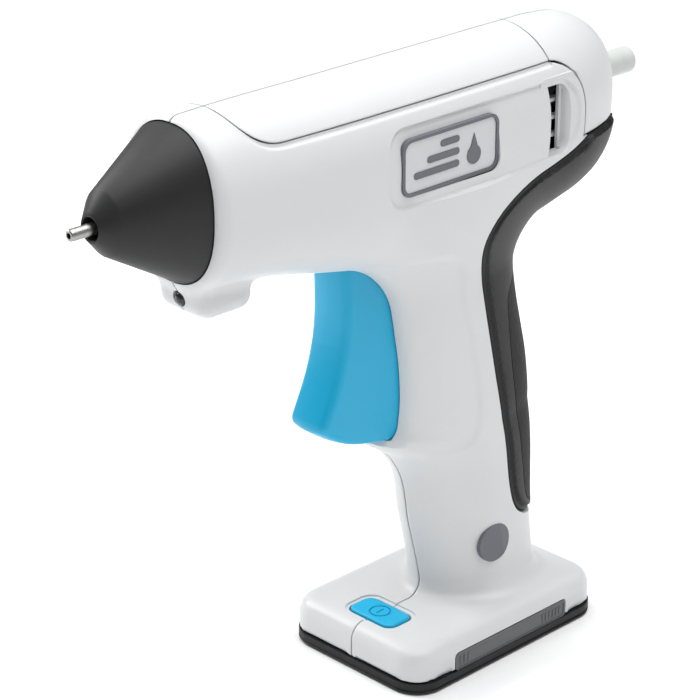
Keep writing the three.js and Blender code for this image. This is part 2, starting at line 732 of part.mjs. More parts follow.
function feedCarriage() {
  const ring = turned([
    [-8, 4.2],
    [-8, 7.6],
    [4, 7.6],
    [4, 4.2],
  ]);
  const cheeks = join(
    box([-9, 5], [2.8, 5.4], [129.6, 141]),
    box([-9, 5], [-5.4, -2.8], [129.6, 141]),
    box([-9, -7], [-5.4, 5.4], [129.6, 138.5]),
    box([3, 5], [-5.4, 5.4], [129.6, 138.5]),
  );
  return cut(join(ring, cheeks), rodX(4.2, [-12, 8]));
}

// The return spring round the stick, between the carriage and the inlet sleeve.
function feedSpring() {
  const turns = 6;
  const stepsPerTurn = 9;
  const steps = turns * stepsPerTurn;
  const start = 5.6;
  const length = 17;
  const coil = 5.4;
  const wire = 0.5;
  const points = [];
  for (let i = 0; i <= steps; i += 1) {
    const angle = (i / stepsPerTurn) * 2 * Math.PI;
    const x = start + (length * i) / steps;
    points.push([x, coil * Math.cos(angle), AXIS_Z + coil * Math.sin(angle)]);
  }
  return tube(points, wire, 5, steps);
}

// ---------------------------------------------------------------- inside pieces
function meltTube() {
  return turned([
    [35, 3.9],
    [35, 5.4],
    [47, 5.4],
    [47, 7.4],
    [96, 7.4],
    [104, 5],
    [104, 2.95],
    [96, 2.95],
    [92, 3.9],
  ]);
}

function inletSleeve() {
  return turned([
    [23.4, 3.9],
    [23.4, 6.6],
    [46.6, 6.6],
    [46.6, 5.7],
    [34.7, 5.7],
    [34.7, 3.9],
  ]);
}

function guideBush() {
  return turned([
    [-46, 3.95],
    [-46, 5.4],
    [-39.6, 5.4],
    [-39.6, 6.8],
    [-37.6, 6.8],
    [-37.6, 5.2],
    [-34, 5.2],
    [-34, 3.95],
  ], 20);
}

function heaterElement() {
  const { rear, front, halfWidth, bottom, top } = HEATER;
  return box([rear, front], [-halfWidth, halfWidth], [bottom, top]);
}

function thermalFuse() {
  return rodX(FUSE.radius, [FUSE.rear, FUSE.front], FUSE.z, 0, 16);
}

function lampBoard() {
  const { rear, front, halfWidth, bottom, top } = LAMP_BOARD;
  return box([rear, front], [-halfWidth, halfWidth], [bottom, top]);
}

function heaterClip() {
  const outer = box([60, 65], [-6, 6], [AXIS_Z + 8.1, AXIS_Z + 12.6]);
  return cut(outer, box([59, 66], [-5.2, 5.2], [AXIS_Z + 7, AXIS_Z + 11.8]));
}

function heatShield() {
  const plate = box([86, 88], [-13, 13], [AXIS_Z - 15, AXIS_Z + 15]);
  const corners = rodX(16, [85, 89]);
  return cut(plate.intersect(corners), rodX(7.8, [80, 90]));
}

function cell() {
  const { x, radius, bottom, length, capRadius, cap } = CELL;
  const top = bottom + length;
  return join(
    rodZ(x, 0, radius, [bottom, top - cap], 28),
    rodZ(x, 0, capRadius, [top - cap - 0.8, top], 16),
  );
}

function circuitBoard() {
  const outline = roundedRectangle([-27.2, 31], [-13, 13], 2);
  return levelPlate(outline, [5.2, 6.4], 0, 3);
}

function switchBody() {
  return join(box([22, 28], [-3, 3], [6.7, 7.6]), rodZ(25, 0, 1.2, [7.5, 8.2], 12));
}

// A lead from the circuit board, up the grip behind the screws and forward under the melt tube.
function boardLead(side, onward) {
  const route = [
    [6, 7.6, 6.9],
    [4.4, 7.5, 14],
    [4, 7.6, 30],
    [3, 8, 50],
    [0.6, 8.2, 70],
    [0, 8.2, 88],
    [-4, 7.8, 104],
    [-6, 7.8, 115],
    [-2, 9.6, 124],
    [10, 11.2, 127.4],
    [26, 11.2, 127.6],
    [36, 10.8, 127.8],
    ...onward,
  ];
  return tube(route.map(([x, y, z]) => [x, side * y, z]), 0.6, 5, 40);
}

function heaterLead() {
  return boardLead(1, [
    [46, 10.8, 131],
    [49.6, 10.8, 141],
    [50.6, 9.4, 150],
    [52.8, 4.6, 154.4],
  ]);
}

function lampLead() {
  return boardLead(-1, [
    [50, 10, 129.4],
    [64, 9, 133.1],
    [74, 7.4, 131],
    [82.6, 3, 124],
  ]);
}

function socketShell() {
  const { halfWidth, bottom, top, rear, front, sheet } = SOCKET;
  const shell = box([rear, front], [-halfWidth, halfWidth], [bottom, top]);
  const across = [-halfWidth + sheet, halfWidth - sheet];
  return cut(shell, box([rear - 1, front - 1.2], across, [bottom + sheet, top - sheet]));
}

function screw(x, z) {
  return join(rodY(x, z, 2.6, [-12.4, -10.5], 12), rodY(x, z, 1.3, [-11, 9.5], 8));
}

function footScrew(x, y) {
  const shank = rodZ(x, y, 1.1, [1, 9.4], 8);
  return join(shank, rodZ(x, y, 2.4, [0.4, 1.6], 12));
}

// ---------------------------------------------------------------- finishes
const WHITE = { color: 0xeeefef, roughness: 0.35, metalness: 0 };
const BLACK = { color: 0x2b2c2d, roughness: 0.55, metalness: 0 };
const SOFT_BLACK = { color: 0x3a3b3c, roughness: 0.8, metalness: 0 };
const BLUE = { color: 0x3fb2e6, roughness: 0.4, metalness: 0 };
const GREY = { color: 0x6f737b, roughness: 0.5, metalness: 0 };
const STEEL = { color: 0xa9abac, roughness: 0.3, metalness: 1 };
const ALUMINIUM = { color: 0xb9babb, roughness: 0.45, metalness: 1 };
const SILICONE = { color: 0xa6452f, roughness: 0.7, metalness: 0 };
const MICA = { color: 0x9b8d72, roughness: 0.8, metalness: 0 };
const BOARD = { color: 0x1f5b3a, roughness: 0.5, metalness: 0 };
const CELL_WRAP = { color: 0x3c5f9a, roughness: 0.4, metalness: 0 };
const GLUE = { color: 0xe4e8e4, roughness: 0.3, metalness: 0 };
const LENS_CLEAR = { color: 0x2a2f36, roughness: 0.1, metalness: 0 };
const CABLE = { color: 0x7a1f1f, roughness: 0.6, metalness: 0 };

const gun = new THREE.Group();

function addPiece(name, item, finish) {
  const mesh = new THREE.Mesh(bufferOf(item), new THREE.MeshStandardMaterial(finish));
  mesh.name = name;
  gun.add(mesh);
}

// ---------------------------------------------------------------- assembly
const shell = housingShell();
const caseOnly = cut(shell, coverRegion(SPLIT), rearRegion(SPLIT));
const coverOnly = cut(shell.intersect(coverRegion(-SPLIT)), rearRegion(SPLIT));
const rearOnly = shell.intersect(rearRegion(-SPLIT));

addPiece('housing_left', leftHalf(caseOnly), WHITE);
addPiece('housing_right', rightHalf(caseOnly), WHITE);
addPiece('top_cover_left', leftHalf(coverOnly), WHITE);
addPiece('top_cover_right', rightHalf(coverOnly), WHITE);
addPiece('rear_cover_left', leftHalf(rearOnly), WHITE);
addPiece('rear_cover_right', rightHalf(rearOnly), WHITE);
addPiece('back_grip', backGrip(), SOFT_BLACK);
addPiece('grip_pad', gripPad(), SOFT_BLACK);
addPiece('nose_cone', noseCone(), BLACK);
addPiece('nozzle', nozzle(), STEEL);
addPiece('badge_left', badge(), GREY);
addPiece('badge_right', mirrorY(badge()), GREY);
addPiece('grip_inlay_left', gripInlay(), GREY);
addPiece('grip_inlay_right', mirrorY(gripInlay()), GREY);
addPiece('side_strip_left', sideStrip(), GREY);
addPiece('side_strip_right', mirrorY(sideStrip()), GREY);
addPiece('power_button', powerButton(), BLUE);
addPiece('foot', foot(), BLACK);
addPiece('lamp_lens', lampLens(), LENS_CLEAR);
addPiece('lamp_board', lampBoard(), BOARD);
addPiece('trigger', trigger(), BLUE);
addPiece('trigger_pin', pivotPin(TRIGGER_PIVOT), STEEL);
addPiece('feed_lever', feedLever(), BLACK);
addPiece('lever_pin', pivotPin(LEVER_PIVOT), STEEL);
addPiece('feed_carriage', feedCarriage(), BLACK);
addPiece('feed_spring', feedSpring(), STEEL);
addPiece('glue_stick', glueStick(), GLUE);
addPiece('guide_bush', guideBush(), BLACK);
addPiece('inlet_sleeve', inletSleeve(), SILICONE);
addPiece('melt_tube', meltTube(), ALUMINIUM);
addPiece('heater_element', heaterElement(), MICA);
addPiece('heater_clip', heaterClip(), STEEL);
addPiece('thermal_fuse', thermalFuse(), STEEL);
addPiece('heat_shield', heatShield(), MICA);
addPiece('heater_lead', heaterLead(), CABLE);
addPiece('lamp_lead', lampLead(), CABLE);
addPiece('battery_cell', cell(), CELL_WRAP);
addPiece('circuit_board', circuitBoard(), BOARD);
addPiece('switch_body', switchBody(), BLACK);
addPiece('charge_socket', socketShell(), STEEL);
SCREWS.forEach(({ name, x, z }) => addPiece(name, screw(x, z), STEEL));
FOOT_SCREWS.forEach(({ name, x, y }) => addPiece(name, footScrew(x, y), STEEL));

export default gun;
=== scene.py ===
import json
import math

import bmesh
import bpy
import numpy as np
from mathutils import Matrix, Vector
from mathutils.geometry import interpolate_bezier


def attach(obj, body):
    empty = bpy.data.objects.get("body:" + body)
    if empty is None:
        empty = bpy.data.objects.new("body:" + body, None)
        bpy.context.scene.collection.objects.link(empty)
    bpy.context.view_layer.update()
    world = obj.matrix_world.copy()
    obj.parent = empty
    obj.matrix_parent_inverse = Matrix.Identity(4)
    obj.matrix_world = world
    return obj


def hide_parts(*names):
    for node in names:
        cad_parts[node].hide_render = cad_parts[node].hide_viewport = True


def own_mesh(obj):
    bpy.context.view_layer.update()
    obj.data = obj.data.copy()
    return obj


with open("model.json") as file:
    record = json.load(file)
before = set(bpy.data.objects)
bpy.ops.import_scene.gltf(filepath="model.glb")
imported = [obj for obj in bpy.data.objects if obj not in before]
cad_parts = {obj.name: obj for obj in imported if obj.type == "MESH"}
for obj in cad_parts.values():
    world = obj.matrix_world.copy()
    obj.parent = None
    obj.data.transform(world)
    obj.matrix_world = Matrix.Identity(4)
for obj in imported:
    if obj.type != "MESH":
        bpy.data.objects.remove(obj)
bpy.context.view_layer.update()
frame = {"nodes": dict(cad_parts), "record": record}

# ------------------------------------------------------------------ camera, floor and light
# A long lens looks down at the gun from its front left. A pale floor sweeps to a white room, with
# one large soft light overhead, one at the camera's left and a weak one at its right.
LENS_MM = 135.3
CAMERA_AT = (0.45827, 0.43035, 0.35096)
LOOKING = (-0.643176, -0.655644, -0.395546)

camera_data = bpy.data.cameras.new("camera")
camera_data.lens = LENS_MM
camera_data.sensor_width = 36
camera = bpy.data.objects.new("camera", camera_data)
camera.location = CAMERA_AT
camera.rotation_euler = Vector(LOOKING).to_track_quat("-Z", "Y").to_euler()
bpy.context.collection.objects.link(camera)
bpy.context.scene.camera = camera
bpy.context.scene.view_settings.view_transform = "Standard"


def linear(hex_colour):
    """An sRGB hex colour as the linear colour that a shader takes."""
    channels = [int(hex_colour[i:i + 2], 16) / 255 for i in (1, 3, 5)]
    return tuple(c / 12.92 if c <= 0.04045 else ((c + 0.055) / 1.055) ** 2.4 for c in channels) + (1.0,)


def add_node(tree, kind, settings=None, links=None):
    """Adds a shader node; settings are its own values or its sockets', links feed its sockets."""
    node = tree.nodes.new(kind)
    for key, value in (settings or {}).items():
        if isinstance(key, str) and hasattr(node, key):
            setattr(node, key, value)
        else:
            node.inputs[key].default_value = value
    for key, source in (links or {}).items():
        tree.links.new(source, node.inputs[key])
    return node


world = bpy.data.worlds.new("room")
world.use_nodes = True
world.node_tree.nodes["Background"].inputs["Color"].default_value = linear("#FFFFFF")
world.node_tree.nodes["Background"].inputs["Strength"].default_value = 0.25
bpy.context.scene.world = world


def soft_light(name, place, target, size, power):
    data = bpy.data.lights.new(name, "AREA")
    data.shape = "DISK"
    data.size = size
    data.energy = power
    light = bpy.data.objects.new(name, data)
    light.location = place
    light.rotation_euler = (Vector(target) - Vector(place)).to_track_quat("-Z", "Y").to_euler()
    bpy.context.collection.objects.link(light)


soft_light("overhead", (-0.03, 0.06, 1.1), (0, 0, 0.1), 1.5, 18.0)
soft_light("left_window", (0.3, -0.85, 0.65), (0, 0, 0.1), 0.55, 5.5)
soft_light("right_fill", (-0.3, 1.0, 0.4), (0, 0, 0.1), 0.7, 0.3)

floor_mesh = bmesh.new()
bmesh.ops.create_grid(floor_mesh, x_segments=1, y_segments=1, size=4)
floor_data = bpy.data.meshes.new("floor")
floor_mesh.to_mesh(floor_data)
floor_mesh.free()
floor = bpy.data.objects.new("floor", floor_data)
bpy.context.collection.objects.link(floor)

# Smooth white studio paper: no colour of its own, a faint cloudiness in its gloss.
paper = bpy.data.materials.new("white_paper_sweep")
paper.use_nodes = True
paper_noise = add_node(paper.node_tree, "ShaderNodeTexNoise", {"Scale": 40.0, "Detail": 3.0})
paper_ramp = add_node(
    paper.node_tree, "ShaderNodeMapRange",
    {"To Min": 0.85, "To Max": 0.95}, {"Value": paper_noise.outputs["Fac"]},
)
paper_shader = paper.node_tree.nodes["Principled BSDF"]
paper_shader.inputs["Base Color"].default_value = linear("#FCFCFC")
paper.node_tree.links.new(paper_ramp.outputs["Result"], paper_shader.inputs["Roughness"])
floor_data.materials.append(paper)

# ------------------------------------------------------------------ the gun's outer form
# Barrel, grip, base and lamp block are one flowing moulding. It is described as a field that is
# negative inside; a rough solid is remeshed and its points are settled on the field's zero surface.
# Millimetres from here on, until a piece is handed over.
WAIST = 144.0  # height where the barrel is widest
AXIS_Z = 144.8  # height of the glue stick's axis
MOUTH_X = 93.4  # front face of the barrel, where the cone comes out
TAIL_X = -50.2  # rear end of the barrel
WALL = 2.2  # thickness of the moulded shell


def curve_through(*rows):
    """A smooth curve through rows of (key, values...), as a function of the key."""
    table = np.array(sorted(rows), float)
    key, values = table[:, 0], table[:, 1:]
    slopes = np.gradient(values, key, axis=0)

    def at(t):
        t = np.clip(t, key[0], key[-1])
        i = np.clip(np.searchsorted(key, t) - 1, 0, len(key) - 2)
        span = (key[i + 1] - key[i])[:, None]
        s = ((t - key[i]) / span[:, 0])[:, None]
        ahead = s * s * (3 - 2 * s)
        leave = s * (1 - s) ** 2 * span
        arrive = s * s * (s - 1) * span
        return (values[i] * (1 - ahead) + values[i + 1] * ahead + slopes[i] * leave + slopes[i + 1] * arrive).T

    return at


# x, half-width, top, bottom
barrel_curve = curve_through(
    (95, 18.3, 165.5, 124.2), (84, 19.0, 165.8, 123.4), (70, 20.0, 165.9, 121.6), (56, 20.8, 165.8, 118.4),
    (34, 21.2, 165.8, 113.9), (6, 21.2, 165.8, 111.8), (-16, 20.8, 165.8, 113.2), (-28, 19.9, 165.6, 115.6),
    (-36, 17.9, 164.6, 117.0), (-42, 15.6, 162.6, 119.0), (-47, 12.6, 159.4, 122.0), (-52, 8.6, 155.2, 126.6),
)
# z, front, rear, half-width, roundness of the front: 2 is an ellipse, less is more pointed
grip_curve = curve_through(
    (4, 8.6, -26.6, 15.2, 1.75), (17.6, 10.4, -26.0, 15.0, 1.75), (34.8, 14.6, -24.4, 14.8, 1.75),
    (54.4, 20.2, -23.4, 15.5, 1.8), (58.2, 23.1, -23.1, 15.7, 1.9), (62.2, 28.6, -22.8, 15.8, 2.1),
    (64.6, 30.6, -22.5, 15.8, 2.3), (67.4, 27.6, -22.2, 15.8, 2.6), (72, 26.4, -21.6, 15.8, 2.6),
    (79, 26.1, -20.4, 15.8, 2.6), (87, 26.7, -18.2, 16.0, 2.6), (96, 28.2, -15.8, 16.2, 2.6),
    (104, 29.6, -14.2, 16.4, 2.6), (114, 31.0, -14.0, 16.5, 2.6), (142, 33.0, -14.0, 16.0, 2.6),
)
REAR_ROUND = 2.6  # the back of the grip is squarer than an ellipse


def meet(a, b, radius):
    """Both fields' inside, with the edge between them rounded."""
    return np.minimum(np.maximum(a, b), -radius) + np.hypot(np.maximum(a + radius, 0), np.maximum(b + radius, 0))


def merge(a, b, radius):
    """Either field's inside, with the corner between them filled by a fillet."""
    return np.maximum(np.minimum(a, b), radius) - np.hypot(np.maximum(radius - a, 0), np.maximum(radius - b, 0))


def rounded_box(u, v, centre, half, corner):
    du = np.abs(u - centre[0]) - half[0] + corner
    dv = np.abs(v - centre[1]) - half[1] + corner
    return np.hypot(np.maximum(du, 0), np.maximum(dv, 0)) + np.minimum(np.maximum(du, dv), 0) - corner


def smoothstep(low, high, t):
    """0 below low, 1 above high, and an even S between; low may be the larger."""
    s = np.clip((t - low) / (high - low), 0, 1)
    return s * s * (3 - 2 * s)


def barrel_field(x, y, z):
    """The barrel: squared ovals along x, closed by rounded ends."""
    half, top, bottom = barrel_curve(x)
    above = z > WAIST
    v = np.where(above, (z - WAIST) / (top - WAIST), (WAIST - z) / (WAIST - bottom))
    power = np.where(above, 2.1, 2.3)
    size = np.maximum((np.abs(y / half) ** power + np.abs(v) ** power) ** (1 / power), 1e-6)
    tube = np.hypot(y, z - WAIST) * (1 - 1 / size)
    tube = meet(tube, x - MOUTH_X, 2.7)
    return meet(tube, TAIL_X - x, 5)


def grip_field(x, y, z):
    """The grip: an upright column whose section changes with height."""
    front, rear, half, front_round = grip_curve(z)
    middle, reach = (front + rear) / 2, (front - rear) / 2
    power = np.where(x > middle, front_round, REAR_ROUND)
    size = np.maximum((np.abs((x - middle) / reach) ** power + np.abs(y / half) ** power) ** (1 / power), 1e-6)
    column = np.hypot(x - middle, y) * (1 - 1 / size)
    return meet(column, np.maximum(z - 140, 4.5 - z), 2)


def base_field(x, y, z):
    """The flared base: a rounded slab with a small round and a chamfer along its top edge."""
    plan = rounded_box(x, y, (0.05, 0), (35.65, 24.3), 8)
    slab = meet(plan, z - 12.8, 1.0)
    slab = meet(slab, (plan + z - 12.8 + 2.6) / math.sqrt(2), 1.2)
    skirt = 3.6 - 1.4 * smoothstep(23.2, 22.4, np.abs(x)) * smoothstep(22.0, 22.6, np.abs(y))
    return np.maximum(slab, skirt - z)


def lamp_block_field(x, y, z):
    """The block under the barrel's mouth that holds the lamp, with leaning front and rear faces."""
    sides = np.abs(y) - 8.6
    under = 116.5 - z
    front = (x - 90.8 - (z - 116.6) * 0.17) * 0.985
    rear = 75.4 - x - (z - 116.6) * 0.06
    block = meet(meet(sides, under, 3.6), meet(front, rear, 0.5), 3.4)
    return np.maximum(block, z - 136)


def body_field(x, y, z):
    """The whole outer form, with fillets where barrel, grip, base and lamp block meet."""
    body = merge(barrel_field(x, y, z), grip_field(x, y, z), 9 + 4 * smoothstep(-12, 12, x))
    body = merge(body, base_field(x, y, z), 5)
    return merge(body, lamp_block_field(x, y, z), 2.2)


def settle(points, field, rounds=5, reach=1.5):
    """Moves points along the field's slope onto its zero surface."""
    step = 0.02
    for _ in range(rounds):
        x, y, z = points.T
        here = field(x, y, z)
        slope = np.stack([
            field(x + step, y, z) - here, field(x, y + step, z) - here, field(x, y, z + step) - here,
        ]) / step
        steep = np.maximum((slope ** 2).sum(axis=0), 0.05)
        move = np.clip(here / steep, -reach, reach) * slope
        points = points - move.T
    return points


def new_object(name, bm):
    data = bpy.data.meshes.new(name)
    bm.to_mesh(data)
    bm.free()
    made = bpy.data.objects.new(name, data)
    bpy.context.collection.objects.link(made)
    return made


def finished_mesh(thing):
    """Replaces an object's mesh by the one that its modifiers give."""
    seen = thing.evaluated_get(bpy.context.evaluated_depsgraph_get())
    data = bpy.data.meshes.new_from_object(seen)
    thing.modifiers.clear()
    thing.data = data
    return thing


def remesh(thing, voxel):
    modifier = thing.modifiers.new("remesh", "REMESH")
    modifier.mode = "VOXEL"
    modifier.voxel_size = voxel
    return finished_mesh(thing)


def points_of(thing):
    flat = np.empty(len(thing.data.vertices) * 3)
    thing.data.vertices.foreach_get("co", flat)
    return flat.reshape(-1, 3)


def place_points(thing, points):
    thing.data.vertices.foreach_set("co", points.ravel())
    thing.data.update()


def settle_object(thing, field, rounds=5, near=None):
    points = points_of(thing)
    chosen = np.ones(len(points), bool) if near is None else near(*points.T)
    points[chosen] = settle(points[chosen], field, rounds)
    place_points(thing, points)


def refine(thing, near, relax=1):
    """Halves the edges whose both ends lie where near(x, y, z) is true."""
    chosen = near(*points_of(thing).T)
    bm = bmesh.new()
    bm.from_mesh(thing.data)
    bm.verts.ensure_lookup_table()
    edges = [e for e in bm.edges if chosen[e.verts[0].index] and chosen[e.verts[1].index]]
    bmesh.ops.subdivide_edges(bm, edges=edges, cuts=1, use_grid_fill=True)
    for _ in range(relax):
        bmesh.ops.smooth_vert(bm, verts=bm.verts, factor=0.5, use_axis_x=True, use_axis_y=True, use_axis_z=True)
    bm.to_mesh(thing.data)
    bm.free()


def block(bm, low, high):
    """Adds a closed box between two corners, and returns its vertices."""
    size = Vector(high) - Vector(low)
    middle = (Vector(high) + Vector(low)) / 2
    matrix = Matrix.Translation(middle) @ Matrix.Diagonal((*size, 1))
    return bmesh.ops.create_cube(bm, size=1, matrix=matrix)["verts"]


def rough_body():
    """Plain blocks and drums close to the form, for the remesh to start from."""
    bm = bmesh.new()
    slices = [(x, *barrel_curve(np.array([float(x)]))[:, 0]) for x in range(-48, 94, 6)]
    for x, half, top, bottom in slices:
        middle = (top + bottom) / 2
        shape = Matrix.Translation((x, 0, middle)) @ Matrix.Diagonal((1, half, (top - bottom) / 2, 1))
        turn = Matrix.Rotation(math.pi / 2, 4, "Y")
        bmesh.ops.create_cone(bm, cap_ends=True, segments=40, radius1=1, radius2=1, depth=8, matrix=shape @ turn)
    for z in range(6, 132, 4):
        front, rear, half, _ = grip_curve(np.array([float(z)]))[:, 0]
        shape = Matrix.Translation(((front + rear) / 2, 0, z)) @ Matrix.Diagonal(((front - rear) / 2, half, 1, 1))
        bmesh.ops.create_cone(bm, cap_ends=True, segments=40, radius1=1, radius2=1, depth=6, matrix=shape)
    block(bm, (-35, -23.5, 4), (35.2, 23.5, 12))
    block(bm, (76, -8, 117), (91, 8, 130))
    return bm


def body_solid(name, voxel, field):
    solid = remesh(new_object(name, rough_body()), voxel)
    settle_object(solid, field, 8)
    return solid


# ------------------------------------------------------------------ joint lines
# Where the shell is split: on the middle plane, round the top cover, in a C round the side vent,
# and along the edge of the soft back grip. Each line is an outline in the side view, x and z.


def outline(start, *steps, parts=8):
    """A closed side-view outline of straight steps (x, z) and curved ones (handle, handle, end)."""
    points = [Vector(start)]
    for step in steps:
        if isinstance(step[0], tuple):
            first, second, end = (Vector(p) for p in step)
            points.extend(Vector(p[:2]) for p in interpolate_bezier(points[-1], first, second, end, parts + 1)[1:])
        else:
            points.append(Vector(step))
    return points


def inside_distance(points, x, z):
    """Distance from each point to the outline, negative inside."""
    nearest = np.full_like(x, 1e9)
    inside = np.zeros(x.shape, bool)
    for a, b in zip(points, points[1:] + points[:1]):
        ex, ez = b.x - a.x, b.y - a.y
        length = max(ex * ex + ez * ez, 1e-12)
        t = np.clip(((x - a.x) * ex + (z - a.y) * ez) / length, 0, 1)
        nearest = np.minimum(nearest, np.hypot(x - a.x - t * ex, z - a.y - t * ez))
        crosses = (a.y > z) != (b.y > z)
        if abs(ez) > 1e-9:
            inside ^= crosses & (x < a.x + (z - a.y) * ex / ez)
    return np.where(inside, -nearest, nearest)


COVER = outline(
    (-17.7, 190), (-17.7, 158.2), (72, 158.2), ((76, 158.2), (78.6, 159.4), (80.4, 161.2)),
    ((82, 162.9), (82.9, 164.6), (82.9, 167)), (82.9, 190),
)
TAIL = outline(
    (-17.7, 190), (-17.7, 158.2), ((-23.2, 157.6), (-27.6, 153), (-27.7, 145)), (-27.8, 137.4),
    (-90, 137.0), (-90, 190),
)
BACK_GRIP = outline(
    (-90, 137), (-30.4, 137.2), ((-28.4, 136.4), (-24, 134.2), (-17, 132.4)),
    ((-7, 130), (3, 127.6), (6.4, 121.2)), ((9.4, 116.4), (7.4, 112.4), (6.0, 106.6)),
    ((3.2, 94), (-2.8, 72), (-6.4, 54)), ((-7.6, 47), (-8.6, 41.4), (-10.6, 37.4)),
    ((-13, 32.6), (-19, 30.4), (-30, 29.8)), (-90, 29.8), parts=9,
)
PAD = outline(
    (-60, 106), (-15, 105.6), ((-9.5, 104), (-5.0, 101), (-4.9, 97.5)), ((-5.3, 90), (-7.4, 76), (-11.3, 58.5)),
    ((-12.8, 51), (-14.4, 43.4), (-15.2, 40.4)), ((-16.4, 36.2), (-18.4, 34.4), (-23, 34)), (-60, 33.6), parts=7,
)
FINGER_DISH = outline(
    (60, 119), (22, 117), ((16.6, 116.4), (13.6, 114), (12.4, 108)), ((10.6, 98), (5.6, 84), (4.1, 72)),
    ((3.4, 65), (4.6, 60.6), (11, 59.6)), ((16, 59.2), (24, 60.6), (60, 66)), parts=6,
)


def cover_line(x, z):
    return inside_distance(COVER, x, z)


def tail_line(x, z):
    return inside_distance(TAIL, x, z)


def grip_line(x, z):
    return inside_distance(BACK_GRIP, x, z)


def seam_distance(x, y, z):
    """How far a point of the case is from the nearest joint line."""
    return np.minimum(np.abs(y), np.minimum(np.abs(cover_line(x, z)), np.abs(tail_line(x, z))))


PANEL = {"middle": (8.8, 144.2), "half": (34.2, 9.8), "front_corner": 6.0, "rear_corner": 8.5}


def panel_line(x, z):
    corner = np.where(x > PANEL["middle"][0], PANEL["front_corner"], PANEL["rear_corner"])
    return rounded_box(x, z, PANEL["middle"], PANEL["half"], corner)


def case_field(x, y, z):
    """The body with its sunk side panel, its finger dish and softly broken edges at each joint."""
    field = body_field(x, y, z)
    side = smoothstep(10, 13, np.abs(y))
    panel = panel_line(x, z)
    sunk = 0.8 + 0.8 * np.clip(np.abs(y) - 20.5, 0, 1)
    field = field + sunk * smoothstep(0.45, -0.45, panel) * side
    dish = inside_distance(FINGER_DISH, x, z)
    field = field + 0.85 * smoothstep(1.0, -1.4, dish) * smoothstep(9, 13, np.abs(y)) * (z < 122)
    ledge = cover_line(x, z)
    beside_cover = (ledge > 0) * smoothstep(9, 15, np.abs(y)) * (x > -18)
    field = field + 0.6 * smoothstep(1.3, 0.9, np.abs(ledge)) * beside_cover
    seam = seam_distance(x, y, z)
    return field + 0.34 * np.clip(1 - seam / 0.6, 0, 1) ** 2


def near_panel_edge(x, y, z, reach):
    return (np.abs(panel_line(x, z)) < reach) & (np.abs(y) > 9)


def near_detail(x, y, z):
    """The joints and the rims of the panel and the dish, for the first halving of edges."""
    dish_edge = (np.abs(inside_distance(FINGER_DISH, x, z)) < 2) & (np.abs(y) > 9) & (z < 120)
    return (seam_distance(x, y, z) < 2.0) | near_panel_edge(x, y, z, 2.2) | dish_edge


def near_seam(x, y, z):
    """The joints and the rim of the panel only, closer in, for the second halving."""
    return (seam_distance(x, y, z) < 1.1) | near_panel_edge(x, y, z, 1.2)


def near_sculpted(x, y, z):
    """Everywhere that the case differs from the plain body."""
    inside_panel = (panel_line(x, z) < 2.2) & (np.abs(y) > 9)
    on_grip = (np.abs(y) > 8) & (z < 122) & (z > 56) & (x > 0)
    return inside_panel | on_grip | (seam_distance(x, y, z) < 2.2)


case_solid = body_solid("case_solid", 1.0, body_field)
refine(case_solid, near_detail)
settle_object(case_solid, body_field, 4)
refine(case_solid, near_seam)
settle_object(case_solid, body_field, 3)
settle_object(case_solid, case_field, 4, near_sculpted)


def room_field(x, y, z):
    """The hollow inside the shell, kept out of the mouth's rim and the bulge under the trigger."""
    room = np.maximum(body_field(x, y, z) + WALL, x - (MOUTH_X - 2.4))
    bulge = np.minimum(x - 17, 12 - np.abs(z - 61))
    return np.maximum(room, bulge)


room_solid = body_solid("room_solid", 1.8, room_field)

# ------------------------------------------------------------------ the white case
# Two halves of injection-moulded white ABS, a top cover and a tail cover in the same plastic.
# Satin from a fine spark-eroded tool; the joints are 0.3 mm gaps with softly broken edges.


SIDE_REACH = 60  # far enough to each side to pass through the whole gun


def side_prism(points, low=-SIDE_REACH, high=SIDE_REACH, grow=0.0):
    """A side-view outline, grown by a little, as a solid between two y values."""
    bm = bmesh.new()
    middle = [Vector((p.x, p.y)) for p in points]
    if grow:
        middle = [p + grow * outward(points, i) for i, p in enumerate(middle)]
    face = bm.faces.new([bm.verts.new((p.x, low, p.y)) for p in middle])
    moved = bmesh.ops.extrude_face_region(bm, geom=[face])["geom"]
    bmesh.ops.translate(bm, vec=(0, high - low, 0), verts=[v for v in moved if isinstance(v, bmesh.types.BMVert)])
    bmesh.ops.recalc_face_normals(bm, faces=bm.faces)
    return bm


def outward(points, i):
    """The direction out of an outline at one of its points."""
    before, here, after = points[i - 1], points[i], points[(i + 1) % len(points)]
    turning = sum(a.x * b.y - b.x * a.y for a, b in zip(points, points[1:] + points[:1]))
    side = 1 if turning > 0 else -1
    first = Vector((here.y - before.y, before.x - here.x)).normalized() * side
    second = Vector((after.y - here.y, here.x - after.x)).normalized() * side
    both = first + second
    return both / max(both.dot(both) / 2, 0.3)


def carve(thing, tool_bm, way="DIFFERENCE"):
    """Cuts, keeps or adds a tool shape."""
    tool = new_object("tool", tool_bm)
    return carve_object(thing, tool, way, discard=True)


def carve_object(thing, tool, way="DIFFERENCE", discard=False):
    modifier = thing.modifiers.new("carve", "BOOLEAN")
    modifier.operation = way
    modifier.solver = "MANIFOLD"
    modifier.object = tool
    finished_mesh(thing)
    if discard:
        bpy.data.objects.remove(tool)
    return thing


def mirror_y(thing):
    """Turns a left-hand piece into its right-hand twin."""
    bm = bmesh.new()
    bm.from_mesh(thing.data)
    bmesh.ops.scale(bm, vec=(1, -1, 1), verts=bm.verts)
    bmesh.ops.recalc_face_normals(bm, faces=bm.faces)
    bm.to_mesh(thing.data)
    bm.free()


def copy_of(thing, name):
    made = bpy.data.objects.new(name, thing.data.copy())
    bpy.context.collection.objects.link(made)
    return made


